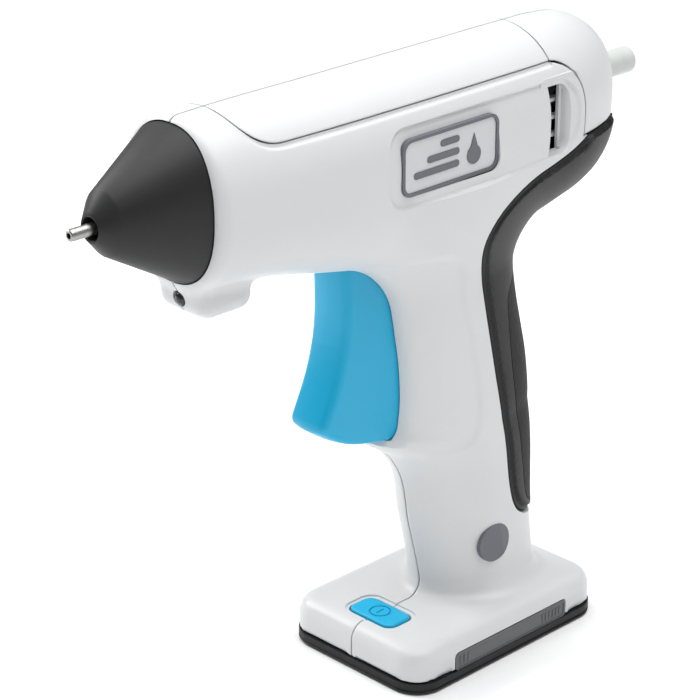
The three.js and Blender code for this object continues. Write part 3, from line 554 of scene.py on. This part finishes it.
def rounded_plate(bm, plane, us, vs, corner, low, high, steps=6):
    """A rounded rectangle across plane 'y' (x by z) or 'z' (x by y), as a solid."""
    ends = [(u, across, v) if plane == "y" else (u, v, across) for u, v, across in zip(us, vs, (low, high))]
    corners = block(bm, *ends)
    through = "xyz".index(plane)
    upright = [
        e for e in bm.edges
        if e.verts[0] in corners and abs(e.verts[0].co[through] - e.verts[1].co[through]) > 1e-3
    ]
    bmesh.ops.bevel(
        bm, geom=upright, offset=corner, segments=steps, profile=0.5, affect="EDGES", material=-1,
        clamp_overlap=True,
    )


def rod(bm, axis, radius, start, end, u, v, segments=32):
    """A round bar along an axis; u and v are its place on the other two axes, in x, y, z order."""
    middle = (start + end) / 2
    if axis == "X":
        matrix = Matrix.Translation((middle, u, v)) @ Matrix.Rotation(math.pi / 2, 4, "Y")
    elif axis == "Y":
        matrix = Matrix.Translation((u, middle, v)) @ Matrix.Rotation(math.pi / 2, 4, "X")
    else:
        matrix = Matrix.Translation((u, v, middle))
    bmesh.ops.create_cone(
        bm, cap_ends=True, segments=segments, radius1=radius, radius2=radius, depth=end - start, matrix=matrix,
    )


def plate_tool(plane, us, vs, corner, low, high):
    bm = bmesh.new()
    rounded_plate(bm, plane, us, vs, corner, low, high)
    return bm


def rod_tool(axis, radius, start, end, u, v):
    bm = bmesh.new()
    rod(bm, axis, radius, start, end, u, v)
    return bm


def box_tool(low, high):
    bm = bmesh.new()
    block(bm, low, high)
    return bm


def oval_tool(half_width, half_height, middle_z, power, start, end):
    """A bar along the barrel with the cone's oval section."""
    bm = bmesh.new()
    rod(bm, "X", 1, start, end, 0, 0, segments=96)
    for vert in bm.verts:
        angle = math.atan2(vert.co.z, vert.co.y)
        cos, sin = math.cos(angle), math.sin(angle)
        vert.co.y = half_width * math.copysign(abs(cos) ** (2 / power), cos)
        vert.co.z = middle_z + half_height * math.copysign(abs(sin) ** (2 / power), sin)
    return bm


VENT_SLATS = 3
VENT_PITCH = 4.66
TRIGGER_SLOT = outline((20, 65.7), (60, 65.7), (60, 112), (48, 121), (33, 124.4), (20, 110))
SCREW_FLOOR = -12.6
LOWER_SCREW = (10, 50)
SCREW_WELLS = {(64, 128): SCREW_FLOOR, (-30, 129): SCREW_FLOOR, (8, 86): SCREW_FLOOR, LOWER_SCREW: -8.7}


def scoop_tool(side):
    """The air scoop: a pocket whose back wall curves out to the rim."""
    bm = bmesh.new()
    rounded_plate(bm, "y", (-21.4, -8), (134.6, 152.8), 3.2, 17.0, 17.9)
    lid = [v for v in bm.verts if v.co.x > -14]
    for vert in lid:
        vert.co.x = -14.3
    top = max(bm.faces, key=lambda f: f.calc_center_median().y)
    for rise, lean in ((0.9, 0.35), (0.9, 0.55), (0.9, 0.75), (0.9, 0.9), (4, 3)):
        moved = bmesh.ops.extrude_face_region(bm, geom=[top])["geom"]
        verts = [v for v in moved if isinstance(v, bmesh.types.BMVert)]
        old, top = top, next(f for f in moved if isinstance(f, bmesh.types.BMFace))
        bmesh.ops.delete(bm, geom=[old], context="FACES_ONLY")
        for vert in verts:
            vert.co.y += rise
            vert.co.x -= lean * smoothstep(-17, -21, vert.co.x)
    bmesh.ops.scale(bm, vec=(1, side, 1), verts=bm.verts)
    bmesh.ops.recalc_face_normals(bm, faces=bm.faces)
    return bm


LAMP_Z = 121

case = copy_of(case_solid, "case")
carve_object(case, room_solid)
for opening in (
    oval_tool(15.2, 19.3, 145, 2.3, 84, 100),  # the cone's mouth
    side_prism(TRIGGER_SLOT, -6.7, 6.7),
    plate_tool("z", (20.0, 30.0), (-8.4, 8.4), 3.0, 7, 20),  # the button's hole
    plate_tool("z", (18.8, 31.0), (-9.4, 9.4), 4.0, 12.35, 20),  # and the step round it
    rod_tool("X", 4.4, -70, -38, 0, AXIS_Z),  # the stick's inlet
    rod_tool("X", 2.1, 80, 100, 0, LAMP_Z),
    box_tool((-40, -4.9, 6.5), (-30, 4.9, 10.5)),  # the charge port
    plate_tool("z", (-33.2, 33.2), (-21.9, 21.9), 6, -2, 6),  # the foot's place
):
    carve(case, opening)
# On each side: a wall behind the scoop with its slats, the scoop, its window into the barrel, the
# badge's pocket and the pocket of the base strip.
for side in (1, -1):
    wall = bmesh.new()
    rounded_plate(wall, "y", (-26, -11.5), (132.6, 155), 2.0, 16.1, 18.6)
    wall = new_object("scoop_wall", wall)
    for x in (-25.4, -13.0):
        carve(wall, box_tool((x - 0.8, 13.4, 133.4), (x + 0.8, 16.4, 154.2)), "UNION")
    for slat in range(VENT_SLATS):
        middle = 138.2 + slat * VENT_PITCH
        carve(wall, box_tool((-26, 13.6, middle - 0.45), (-12.4, 15.4, middle + 0.45)), "UNION")
    if side < 0:
        mirror_y(wall)
    carve_object(case, wall, "UNION", discard=True)
    carve(case, scoop_tool(side))
    window = sorted((side * 15.8, side * 18.0))
    carve(case, box_tool((-20.4, window[0], 134.9), (-14.3, window[1], 152.5)))
    ys = sorted((side * 19.4, side * 30))
    carve(case, plate_tool("y", (5.5, 39.0), (137.0, 151.7), 3.1, *ys))
    ys = sorted((side * 23.1, side * 30))
    carve(case, plate_tool("y", (-21.7, 21.7), (2.9, 8.6), 1.4, *ys))
for (x, z), well_floor in SCREW_WELLS.items():
    carve(case, rod_tool("Y", 3.1, -30, well_floor, x, z))

HALF_GAP = 0.2
TAIL_GAP = 0.4  # the C-shaped line round the vent is the widest
FAR = 200
left_side = box_tool((-FAR, HALF_GAP, -FAR), (FAR, FAR, FAR))
right_side = box_tool((-FAR, -FAR, -FAR), (FAR, -HALF_GAP, FAR))
left_side = new_object("left_side", left_side)
right_side = new_object("right_side", right_side)

# (name, outline kept or None, outlines removed, CAD nodes)
WHITE_PIECES = [
    ("case", None, (COVER, TAIL, BACK_GRIP), "housing"),
    ("cover", COVER, (TAIL,), "top_cover"),
    ("tail", TAIL, (COVER, BACK_GRIP), "rear_cover"),
]


def moulded(name, colour, roughness, grain_mm, grain_depth, mottle=0.012, gloss=0.5):
    """A moulded plastic or rubber: a slight mottle in its colour and the tool's fine grain in its gloss."""
    material = bpy.data.materials.new(name)
    material.use_nodes = True
    tree = material.node_tree
    shader = tree.nodes["Principled BSDF"]
    place = add_node(tree, "ShaderNodeTexCoord")
    cloud = add_node(
        tree, "ShaderNodeTexNoise", {"Scale": 60.0, "Detail": 2.0}, {"Vector": place.outputs["Object"]},
    )
    base = linear(colour)
    light = tuple(min(1, c * (1 + mottle)) for c in base[:3]) + (1,)
    dark = tuple(c * (1 - mottle) for c in base[:3]) + (1,)
    tint = add_node(
        tree, "ShaderNodeMix", {"data_type": "RGBA", 6: dark, 7: light}, {0: cloud.outputs["Fac"]},
    )
    tree.links.new(tint.outputs[2], shader.inputs["Base Color"])
    grain = add_node(
        tree, "ShaderNodeTexNoise", {"Scale": 1000 / grain_mm, "Detail": 2.0}, {"Vector": place.outputs["Object"]},
    )
    sheen = add_node(
        tree, "ShaderNodeMapRange", {"To Min": roughness - 0.04, "To Max": roughness + 0.04},
        {"Value": grain.outputs["Fac"]},
    )
    tree.links.new(sheen.outputs["Result"], shader.inputs["Roughness"])
    bump = add_node(
        tree, "ShaderNodeBump", {"Strength": 1.0, "Distance": grain_depth / 1000}, {"Height": grain.outputs["Fac"]},
    )
    tree.links.new(bump.outputs["Normal"], shader.inputs["Normal"])
    shader.inputs["Specular IOR Level"].default_value = gloss
    return material


# Injection-moulded white ABS, satin from a fine spark-eroded tool.
white_abs = moulded("white_abs_satin", "#D8D9DA", 0.36, 0.9, 0.012)


def hand_over(thing, material, body, slot, *nodes, sharp=35):
    """Turns millimetres into metres, shades the piece, and ties it to the frame."""
    thing.data.transform(Matrix.Scale(0.001, 4))
    thing.data.materials.clear()
    thing.data.materials.append(material)
    thing.data.polygons.foreach_set("use_smooth", [True] * len(thing.data.polygons))
    thing.data.set_sharp_from_angle(angle=math.radians(sharp))
    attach(thing, body)
    if nodes:
        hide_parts(*nodes)
    return thing


for part, kept, removed, node in WHITE_PIECES:
    whole = copy_of(case, part)
    if kept:
        carve(whole, side_prism(kept, grow=-HALF_GAP), "INTERSECT")
    for line in removed:
        carve(whole, side_prism(line, grow=TAIL_GAP if line is TAIL else HALF_GAP))
    for side, half in (("left", left_side), ("right", right_side)):
        piece = copy_of(whole, f"{part}_{side}")
        carve_object(piece, half, "INTERSECT")
        hand_over(piece, white_abs, "gun_body", "housing", f"{node}_{side}")
    bpy.data.objects.remove(whole)

# ------------------------------------------------------------------ the soft back grip and its pad
# A black elastomer skin over the back of the grip, running up under the tail where it ends in a
# raised lip. Its edges are rolled over. A finely stippled pad is let into the back.


def skin_field(x, y, z):
    """Proud of the body, with a lip under the tail and a sunk border along its front edge."""
    lip = 0.9 * smoothstep(118, 133, z) * smoothstep(-20, -36, x)
    within = -grip_line(x, z)
    border = 0.9 * smoothstep(2.3, 1.5, within) * smoothstep(-33, -26, x)
    return meet(body_field(x, y, z) - 0.6 - lip + border, HALF_GAP + 0.1 - within, 0.7)


def near_skin_edge(x, y, z):
    return np.abs(grip_line(x, z)) < 3.0


back_grip = copy_of(case_solid, "back_grip_skin")
carve(back_grip, side_prism(BACK_GRIP), "INTERSECT")
remesh(back_grip, 0.8)
settle_object(back_grip, skin_field, 8)
refine(back_grip, near_skin_edge)
settle_object(back_grip, skin_field, 5)
carve_object(back_grip, room_solid)
PAD_GAP = 0.13
pad = copy_of(back_grip, "pad")
carve(pad, side_prism(PAD, grow=-PAD_GAP), "INTERSECT")
carve(back_grip, side_prism(PAD, grow=PAD_GAP))

# Soft thermoplastic elastomer moulded over the grip, with an even matt grain.
black_tpe = moulded("black_elastomer", "#161617", 0.5, 0.7, 0.012, gloss=0.35)
hand_over(back_grip, black_tpe, "gun_body", "soft_grip", "back_grip")

# The same elastomer with a stipple cut in its tool: raised grains 0.8 mm apart.
stippled_tpe = bpy.data.materials.new("stippled_elastomer")
stippled_tpe.use_nodes = True
pad_tree = stippled_tpe.node_tree
pad_shader = pad_tree.nodes["Principled BSDF"]
pad_place = add_node(pad_tree, "ShaderNodeTexCoord")
STIPPLE_MM = 0.8
pad_cells = add_node(
    pad_tree, "ShaderNodeTexVoronoi", {"Scale": 1000 / STIPPLE_MM}, {"Vector": pad_place.outputs["Object"]},
)
pad_tone = add_node(
    pad_tree, "ShaderNodeMix", {"data_type": "RGBA", 6: linear("#101011"), 7: linear("#1B1B1C")},
    {0: pad_cells.outputs["Distance"]},
)
pad_tree.links.new(pad_tone.outputs[2], pad_shader.inputs["Base Color"])
pad_bump = add_node(
    pad_tree, "ShaderNodeBump", {"Distance": 0.00008, "invert": True}, {"Height": pad_cells.outputs["Distance"]},
)
pad_tree.links.new(pad_bump.outputs["Normal"], pad_shader.inputs["Normal"])
pad_shader.inputs["Roughness"].default_value = 0.65
pad_shader.inputs["Specular IOR Level"].default_value = 0.3
hand_over(pad, stippled_tpe, "gun_body", "soft_pad", "grip_pad")

# ------------------------------------------------------------------ nose cone and nozzle
# A charcoal cone of heat-resistant nylon, oval at the mouth and round at its tip, with a step where
# it turns in to the hole. The turned steel nozzle stands out of the hole.
CONE_RINGS = [
    (88.4, 14.9, 19.0, 145.0, 2.3), (93.6, 14.9, 19.0, 145.0, 2.3), (112.9, 6.7, 8.1, 145.2, 2.1),
    (113.4, 6.35, 7.7, 145.2, 2.05), (116.6, 3.5, 3.8, 144.9, 2.0), (117.0, 3.15, 3.3, 144.8, 2.0),
    (116.8, 2.8, 2.8, 144.8, 2.0), (109, 2.6, 2.6, 144.8, 2.0), (88.4, 10, 13, 145, 2.2),
]


def oval_point(unit, x, wide, high, middle, power):
    """A point of a unit circle carried to an oval section of the barrel."""
    c, s = unit
    across = wide * math.copysign(abs(c) ** (2 / power), c)
    return x, across, middle + high * math.copysign(abs(s) ** (2 / power), s)


def ring_loft(rings, segments=96):
    """A closed skin through oval rings: each (x, half-width, half-height, middle z, power)."""
    bm = bmesh.new()
    verts = bmesh.ops.create_circle(bm, segments=segments, radius=1)["verts"]
    place = {vert: vert.co.xy.to_tuple() for vert in verts}
    loop = list(bm.edges)
    for ring in rings:
        if ring is not rings[0]:
            moved = bmesh.ops.extrude_edge_only(bm, edges=loop)["geom"]
            loop = [e for e in moved if isinstance(e, bmesh.types.BMEdge) and all(v in moved for v in e.verts)]
            new = [v for v in moved if isinstance(v, bmesh.types.BMVert)]
            parent = {v: next(e.other_vert(v) for e in v.link_edges if e.other_vert(v) in place) for v in new}
            place = {v: place[parent[v]] for v in new}
        for vert, unit in place.items():
            vert.co = oval_point(unit, *ring)
    bmesh.ops.bridge_loops(bm, edges=[e for e in bm.edges if e.is_boundary])
    bmesh.ops.recalc_face_normals(bm, faces=bm.faces)
    return bm


cone = new_object("cone", ring_loft(CONE_RINGS))
# Glass-filled heat-resistant nylon, moulded with a light grain.
nylon = moulded("charcoal_nylon", "#1E1E1F", 0.5, 0.8, 0.014, gloss=0.4)
cone_finish = cone.modifiers.new("soft_edges", "BEVEL")
cone_finish.width = 0.35
cone_finish.segments = 3
cone_finish.limit_method = "ANGLE"
cone_finish.angle_limit = math.radians(14)
finished_mesh(cone)
hand_over(cone, nylon, "gun_body", "nose", "nose_cone")

NOZZLE_RINGS = [
    (100.5, 2.6), (110.0, 2.6), (110.2, 2.4), (110.2, 1.46), (122.2, 1.46), (122.7, 1.34), (122.9, 1.1),
    (122.9, 0.72), (122.5, 0.66), (104, 0.66), (100.5, 0.9),
]


def turned(name, profile, axis_z=AXIS_Z, segments=64):
    """A lathe-turned piece on an axis along the barrel, from (x, radius) points."""
    bm = bmesh.new()
    verts = [bm.verts.new((x, 0, axis_z + radius)) for x, radius in profile]
    edges = [bm.edges.new(pair) for pair in zip(verts, verts[1:] + verts[:1])]
    bmesh.ops.spin(
        bm, geom=verts + edges, cent=(0, 0, axis_z), axis=(1, 0, 0), angle=2 * math.pi, steps=segments,
        use_merge=True,
    )
    bmesh.ops.remove_doubles(bm, verts=bm.verts, dist=1e-4)
    bmesh.ops.recalc_face_normals(bm, faces=bm.faces)
    return new_object(name, bm)


# Turned, unplated steel: fine rings left by the tool, drawn 0.3 mm apart so that they show.
TOOL_RING_MM = 0.3
turned_steel = bpy.data.materials.new("turned_steel")
turned_steel.use_nodes = True
steel_tree = turned_steel.node_tree
steel_shader = steel_tree.nodes["Principled BSDF"]
steel_place = add_node(steel_tree, "ShaderNodeTexCoord")
steel_rings = add_node(
    steel_tree, "ShaderNodeTexWave", {"bands_direction": "X", "Scale": 1000 / TOOL_RING_MM / 20, "Distortion": 1.0},
    {"Vector": steel_place.outputs["Object"]},
)
steel_gloss = add_node(
    steel_tree, "ShaderNodeMapRange", {"To Min": 0.28, "To Max": 0.42}, {"Value": steel_rings.outputs["Fac"]},
)
steel_tree.links.new(steel_gloss.outputs["Result"], steel_shader.inputs["Roughness"])
steel_shader.inputs["Base Color"].default_value = linear("#A2A2A1")
steel_shader.inputs["Metallic"].default_value = 1.0
nozzle = turned("nozzle_tip", NOZZLE_RINGS)
hand_over(nozzle, turned_steel, "gun_body", "nozzle_metal", "nozzle", sharp=30)

# ------------------------------------------------------------------ the side badges
# A plastic plate pressed into the side panel: a raised grey rim round a pale field, with a generic
# picture of a drop of glue on a bead. Printed and moulded ABS.
badge_grey = moulded("badge_grey_abs", "#62656C", 0.4, 0.7, 0.008)  # moulded grey ABS
badge_pale = moulded("badge_pale_abs", "#D2D3D6", 0.42, 0.7, 0.008)  # moulded pale ABS
BADGE = {"along": (5.6, 38.9), "up": (137.1, 151.6), "corner": 3.0}


def drop_shape(bm, x, z, radius, low, high):
    """A drop of glue: round below, drawn to a point above."""
    points = []
    for k in range(24):
        angle = math.radians(-240 + 300 * k / 23)
        points.append((x + radius * math.cos(angle), z + radius * math.sin(angle)))
    points.append((x, z + 2.3 * radius))
    face = bm.faces.new([bm.verts.new((u, low, v)) for u, v in points])
    moved = bmesh.ops.extrude_face_region(bm, geom=[face])["geom"]
    bmesh.ops.translate(bm, vec=(0, high - low, 0), verts=[v for v in moved if isinstance(v, bmesh.types.BMVert)])
    bmesh.ops.recalc_face_normals(bm, faces=bm.faces)


def badge_plate(inset, round_off, low, high):
    """The badge's outline, drawn in from its edge by an inset, as a plate across y."""
    along, up = ((low_end + inset, high_end - inset) for low_end, high_end in (BADGE["along"], BADGE["up"]))
    bm = bmesh.new()
    rounded_plate(bm, "y", along, up, BADGE["corner"] - round_off, low, high, steps=10)
    return bm


def badge_pieces(side):
    name = "left" if side > 0 else "right"
    rim = new_object(f"badge_rim_{name}", badge_plate(0, 0, 19.5, 20.75))
    carve(rim, badge_plate(0.85, 0.75, 20.3, 23))
    picture = bmesh.new()
    drop_shape(picture, 14.2, 142.6, 2.4, 20.2, 20.62)
    for k, length in enumerate((15.5, 11.0, 6.5)):
        up = (141.0 + 3.1 * k, 142.7 + 3.1 * k)
        rounded_plate(picture, "y", (19.4, 19.4 + length), up, 0.8, 20.2, 20.62, steps=4)
    picture = new_object(f"badge_picture_{name}", picture)
    face = new_object(f"badge_field_{name}", badge_plate(0.9, 0.8, 20.25, 20.4))
    for piece in (rim, picture, face):
        if side < 0:
            mirror_y(piece)
    hand_over(rim, badge_grey, "gun_body", "trim", f"badge_{name}")
    hand_over(picture, badge_grey, "gun_body", "trim")
    hand_over(face, badge_pale, "gun_body", "trim")


badge_pieces(1)
badge_pieces(-1)

# ------------------------------------------------------------------ trigger
# A finger lever in sky-blue ABS, injection-moulded in one piece with the pusher that turns the feed
# lever. It has a slightly crowned front and rounded edges, and hinges on a pin inside the barrel.
TRIGGER = outline(
    (41, 121.5), (44.4, 117), ((44, 108), (43.3, 100), (45.6, 92)), ((47.2, 85.8), (50, 81), (51.8, 77.2)),
    ((52.6, 75), (51.4, 74), (50.2, 73.2)), ((45.4, 69.6), (40, 66.8), (34, 66.2)),
    ((30, 65.9), (22, 65.9), (20.8, 66.4)), (20.4, 71), ((19.4, 79), (19.6, 87), (22, 95)),
    ((24.6, 102.6), (28.6, 108.4), (30.2, 113)), (31, 121.5), ((31, 124.5), (33, 126.5), (36, 126.5)),
    ((39, 126.5), (41, 124.5), (41, 121.5)), parts=7,
)


TRIGGER_HALF = 6.4


def trigger_field(x, y, z):
    """The lever: its side view, crowned towards the front, between slightly hollow sides."""
    crown = 0.9 * (np.abs(y) / TRIGGER_HALF) ** 2 * smoothstep(30, 38, x)
    side = np.abs(y) - TRIGGER_HALF + 0.25 * ((z - 92) / 26) ** 2 * smoothstep(28, 34, x)
    return meet(inside_distance(TRIGGER, x, z) + crown, side, 0.5 + 1.4 * smoothstep(27, 33, x))


trigger = remesh(new_object("trigger_lever", side_prism(TRIGGER, -6.3, 6.3)), 0.55)
settle_object(trigger, trigger_field, 8)
carve(trigger, rod_tool("Y", 2.25, -20, 20, 36, 121.5))  # the pin's bore
carve(trigger, box_tool((18, -2, 98), (40, 2, 102.4)), "UNION")  # the pusher
carve(trigger, rod_tool("Y", 2.6, -20, 20, 18.9, 79.7))  # clears the upper grip screw at full pull
# Moulded sky-blue ABS, satin.
blue_abs = moulded("sky_blue_abs", "#10AAD6", 0.38, 0.8, 0.01, gloss=0.4)
hand_over(trigger, blue_abs, "trigger", "blue", "trigger")

# ------------------------------------------------------------------ base fittings
# A blue button with an engraved ring and bar in the base, grey strips in its sides and a black
# rubber foot under it all. The grip's round grey inlays keep their CAD shapes.
BUTTON_X = 25.0
cap = bmesh.new()
rounded_plate(cap, "z", (20.5, 29.5), (-7.9, 7.9), 2.5, 9.4, 13.0, steps=8)
top_edges = [e for e in cap.edges if all(v.co.z > 12.9 for v in e.verts)]
bmesh.ops.bevel(
    cap, geom=top_edges, offset=0.7, segments=4, profile=0.5, affect="EDGES", material=-1, clamp_overlap=True,
)
button = new_object("button_cap", cap)
ring = bmesh.new()
rod(ring, "Z", 2.95, 12.5, 14, BUTTON_X, 0, segments=48)
ring = new_object("ring", ring)
carve(ring, rod_tool("Z", 2.5, 12, 15, BUTTON_X, 0))
carve_object(button, ring, discard=True)
carve(button, plate_tool("z", (BUTTON_X - 1.3, BUTTON_X + 1.3), (-0.2, 0.2), 0.18, 12.5, 14))
carve(button, plate_tool("z", (19.3, 30.7), (-9.1, 9.1), 2.5, 9.4, 10.2), "UNION")
# Moulded bright blue ABS, a little glossier than the trigger.
bright_blue = moulded("bright_blue_abs", "#20B4E0", 0.36, 0.8, 0.008, gloss=0.4)
hand_over(button, bright_blue, "power_button", "blue", "power_button")

# Moulded grey ABS with a coarser grain.
strip_grey = moulded("strip_grey_abs", "#616264", 0.45, 0.6, 0.012)
for side in (1, -1):
    name = "left" if side > 0 else "right"
    strip = bmesh.new()
    rounded_plate(strip, "y", (-21.4, 21.4), (3.2, 8.3), 1.2, 23.4, 24.35, steps=5)
    strip = new_object(f"strip_{name}", strip)
    carve(strip, plate_tool("y", (-20.9, 20.9), (3.7, 7.8), 0.8, 24.15, 26))
    ticks = bmesh.new()
    for first, pitch, count in ((-19.6, 1.35, 6), (16.2, 1.5, 3)):
        for k in range(count):
            x = first + pitch * k
            block(ticks, (x, 24.0, 4.6), (x + 0.5, 24.32, 6.9))
    carve(strip, ticks, "UNION")
    if side < 0:
        mirror_y(strip)
    hand_over(strip, strip_grey, "gun_body", "trim", f"side_strip_{name}")

# Moulded black rubber, matt.
rubber = moulded("foot_rubber", "#161617", 0.5, 0.7, 0.015, gloss=0.35)
# Heights in the foot's edge and how far each stands out from the base above it.
FOOT_STEPS = [(3.3, 0.0), (1.7, 0.05), (1.5, -0.3), (1.1, -0.3), (0.9, 0.05), (0.7, 0.05), (0.0, -0.9)]
FOOT_CORE = (27.7, 16.3)  # centres of its rounded corners
sole = bmesh.new()
rounded_plate(sole, "z", (-36.0, 36.0), (-24.6, 24.6), 8.3, 0.0, 3.3, steps=10)
for height, _ in FOOT_STEPS[1:-1]:
    geom = sole.verts[:] + sole.edges[:] + sole.faces[:]
    bmesh.ops.bisect_plane(sole, geom=geom, plane_co=(0, 0, height), plane_no=(0, 0, 1))
for vert in sole.verts:
    stands_out = min(FOOT_STEPS, key=lambda step: abs(step[0] - vert.co.z))[1]
    core = Vector([max(-reach, min(reach, c)) for c, reach in zip(vert.co.xy, FOOT_CORE)])
    vert.co += ((vert.co.xy - core).normalized() * stands_out).to_3d()
foot = new_object("foot_pad", sole)
hand_over(foot, rubber, "gun_body", "foot_rubber", "foot", sharp=30)

# ------------------------------------------------------------------ glue stick and lamp
# An extruded stick of hot-melt stands out of the inlet at the rear, free to slide. The lamp's lens
# is a small bead pressed into the block under the cone.

# Hot-melt glue: milky, lets a little light through, faint clouds in its colour.
milky = bpy.data.materials.new("hot_melt_stick")
milky.use_nodes = True
milky_tree = milky.node_tree
milky_shader = milky_tree.nodes["Principled BSDF"]
milky_place = add_node(milky_tree, "ShaderNodeTexCoord")
milky_cloud = add_node(
    milky_tree, "ShaderNodeTexNoise", {"Scale": 250.0}, {"Vector": milky_place.outputs["Object"]},
)
milky_tone = add_node(
    milky_tree, "ShaderNodeMix", {"data_type": "RGBA", 6: linear("#BCC0BE"), 7: linear("#D0D3D1")},
    {0: milky_cloud.outputs["Fac"]},
)
milky_tree.links.new(milky_tone.outputs[2], milky_shader.inputs["Base Color"])
milky_shader.inputs["Roughness"].default_value = 0.32
milky_shader.inputs["Subsurface Weight"].default_value = 0.4
milky_shader.inputs["Subsurface Radius"].default_value = (0.003, 0.003, 0.003)
milky_shader.inputs["Subsurface Scale"].default_value = 1.0
stick = turned("hot_melt_stick", [(-67, 0.0), (-67, 3.3), (-66.7, 3.6), (32.7, 3.6), (33, 3.3), (33, 0.0)])
hand_over(stick, milky, "glue_stick", "glue", "glue_stick")

lens_profile = [(86.2, 0.0), (86.2, 1.8), (90.9, 1.8), (91.6, 1.5), (92.0, 0.9), (92.15, 0.0)]
lens = turned("lamp_bead", lens_profile, axis_z=LAMP_Z)
# Polished smoked acrylic.
dark_lens = moulded("smoked_acrylic", "#2A2B2E", 0.12, 2.0, 0.002)
hand_over(lens, dark_lens, "gun_body", "clear_lens", "lamp_lens")

# ------------------------------------------------------------------ lower grip screw
# A pan-head steel screw with a cross recess. The grip narrows here, so its head is sunk deeper than
# the other case screws' heads, which keep their CAD shapes.
screw_x, screw_z = LOWER_SCREW
screw = bmesh.new()
rod(screw, "Y", 1.2, -7, 4, screw_x, screw_z, segments=24)
screw = new_object("grip_screw", screw)
carve(screw, rod_tool("Y", 2.6, -8.9, -6.6, screw_x, screw_z), "UNION")
for reach_x, reach_z in ((0.3, 1.5), (1.5, 0.3)):
    low = (screw_x - reach_x, -9.5, screw_z - reach_z)
    carve(screw, box_tool(low, (screw_x + reach_x, -7.9, screw_z + reach_z)))
hand_over(screw, turned_steel, "gun_body", "steel", "grip_lower_screw", sharp=30)

# ------------------------------------------------------------------ feed spring
# Hard-drawn steel wire wound in an open coil round the stick, from the carriage to the guide bush.
COIL = {"rear": 5.6, "length": 17, "radius": 5.4, "wire": 0.5, "turns": 6}
coil_steps = COIL["turns"] * 24
coil = bmesh.new()
start = Matrix.Translation((COIL["rear"], COIL["radius"], AXIS_Z))
bmesh.ops.create_circle(coil, cap_ends=False, radius=COIL["wire"], segments=10, matrix=start)
bmesh.ops.spin(
    coil, geom=coil.verts[:] + coil.edges[:], cent=(0, 0, AXIS_Z), axis=(1, 0, 0), angle=COIL["turns"] * math.tau,
    dvec=(COIL["length"] / coil_steps, 0, 0), steps=coil_steps, use_merge=False, use_duplicate=False,
)
bmesh.ops.holes_fill(coil, edges=[e for e in coil.edges if e.is_boundary], sides=0)
bmesh.ops.recalc_face_normals(coil, faces=coil.faces)
spring = new_object("return_spring", coil)
hand_over(spring, turned_steel, "gun_body", "steel", "feed_spring")
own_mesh(spring)

# ------------------------------------------------------------------ carried-over inner pieces
# Pieces inside the shell, and the grip's inlays, keep their CAD shapes. They take finishes made
# here, chosen by the slot that the record gives each node.
INNER = {
    "steel": turned_steel,
    "trim": badge_grey,
    "board": moulded("solder_mask_green", "#1F6B45", 0.35, 1.5, 0.01),  # glass epoxy under solder mask
    "inner_plastic": moulded("black_nylon", "#26262A", 0.5, 0.8, 0.012),  # moulded nylon
    "silicone": moulded("red_silicone", "#B4462F", 0.6, 0.9, 0.02),  # moulded silicone rubber
    "cast_aluminium": moulded("cast_aluminium", "#B4B6B8", 0.45, 0.6, 0.02),  # die-cast, dull skin
    "ceramic": moulded("heater_ceramic", "#E2DFD4", 0.6, 0.5, 0.01),  # fired alumina
    "mica": moulded("pressed_mica", "#A5957A", 0.55, 1.2, 0.02),  # pressed mica sheet
    "lead": moulded("wire_insulation", "#8A2323", 0.5, 1.0, 0.004),  # extruded insulation
    "cell_wrap": moulded("cell_film", "#3C62A8", 0.3, 2.0, 0.004),  # heat-shrunk film
}
record_slots = {row["node"]: row["material_slot"] for row in frame["record"]["subparts"]}
for node, thing in frame["nodes"].items():
    slot_name = record_slots.get(node)
    if slot_name in INNER:
        thing.data.materials.clear()
        thing.data.materials.append(INNER[slot_name])

for leftover in (case_solid, room_solid, case, left_side, right_side):
    bpy.data.objects.remove(leftover)
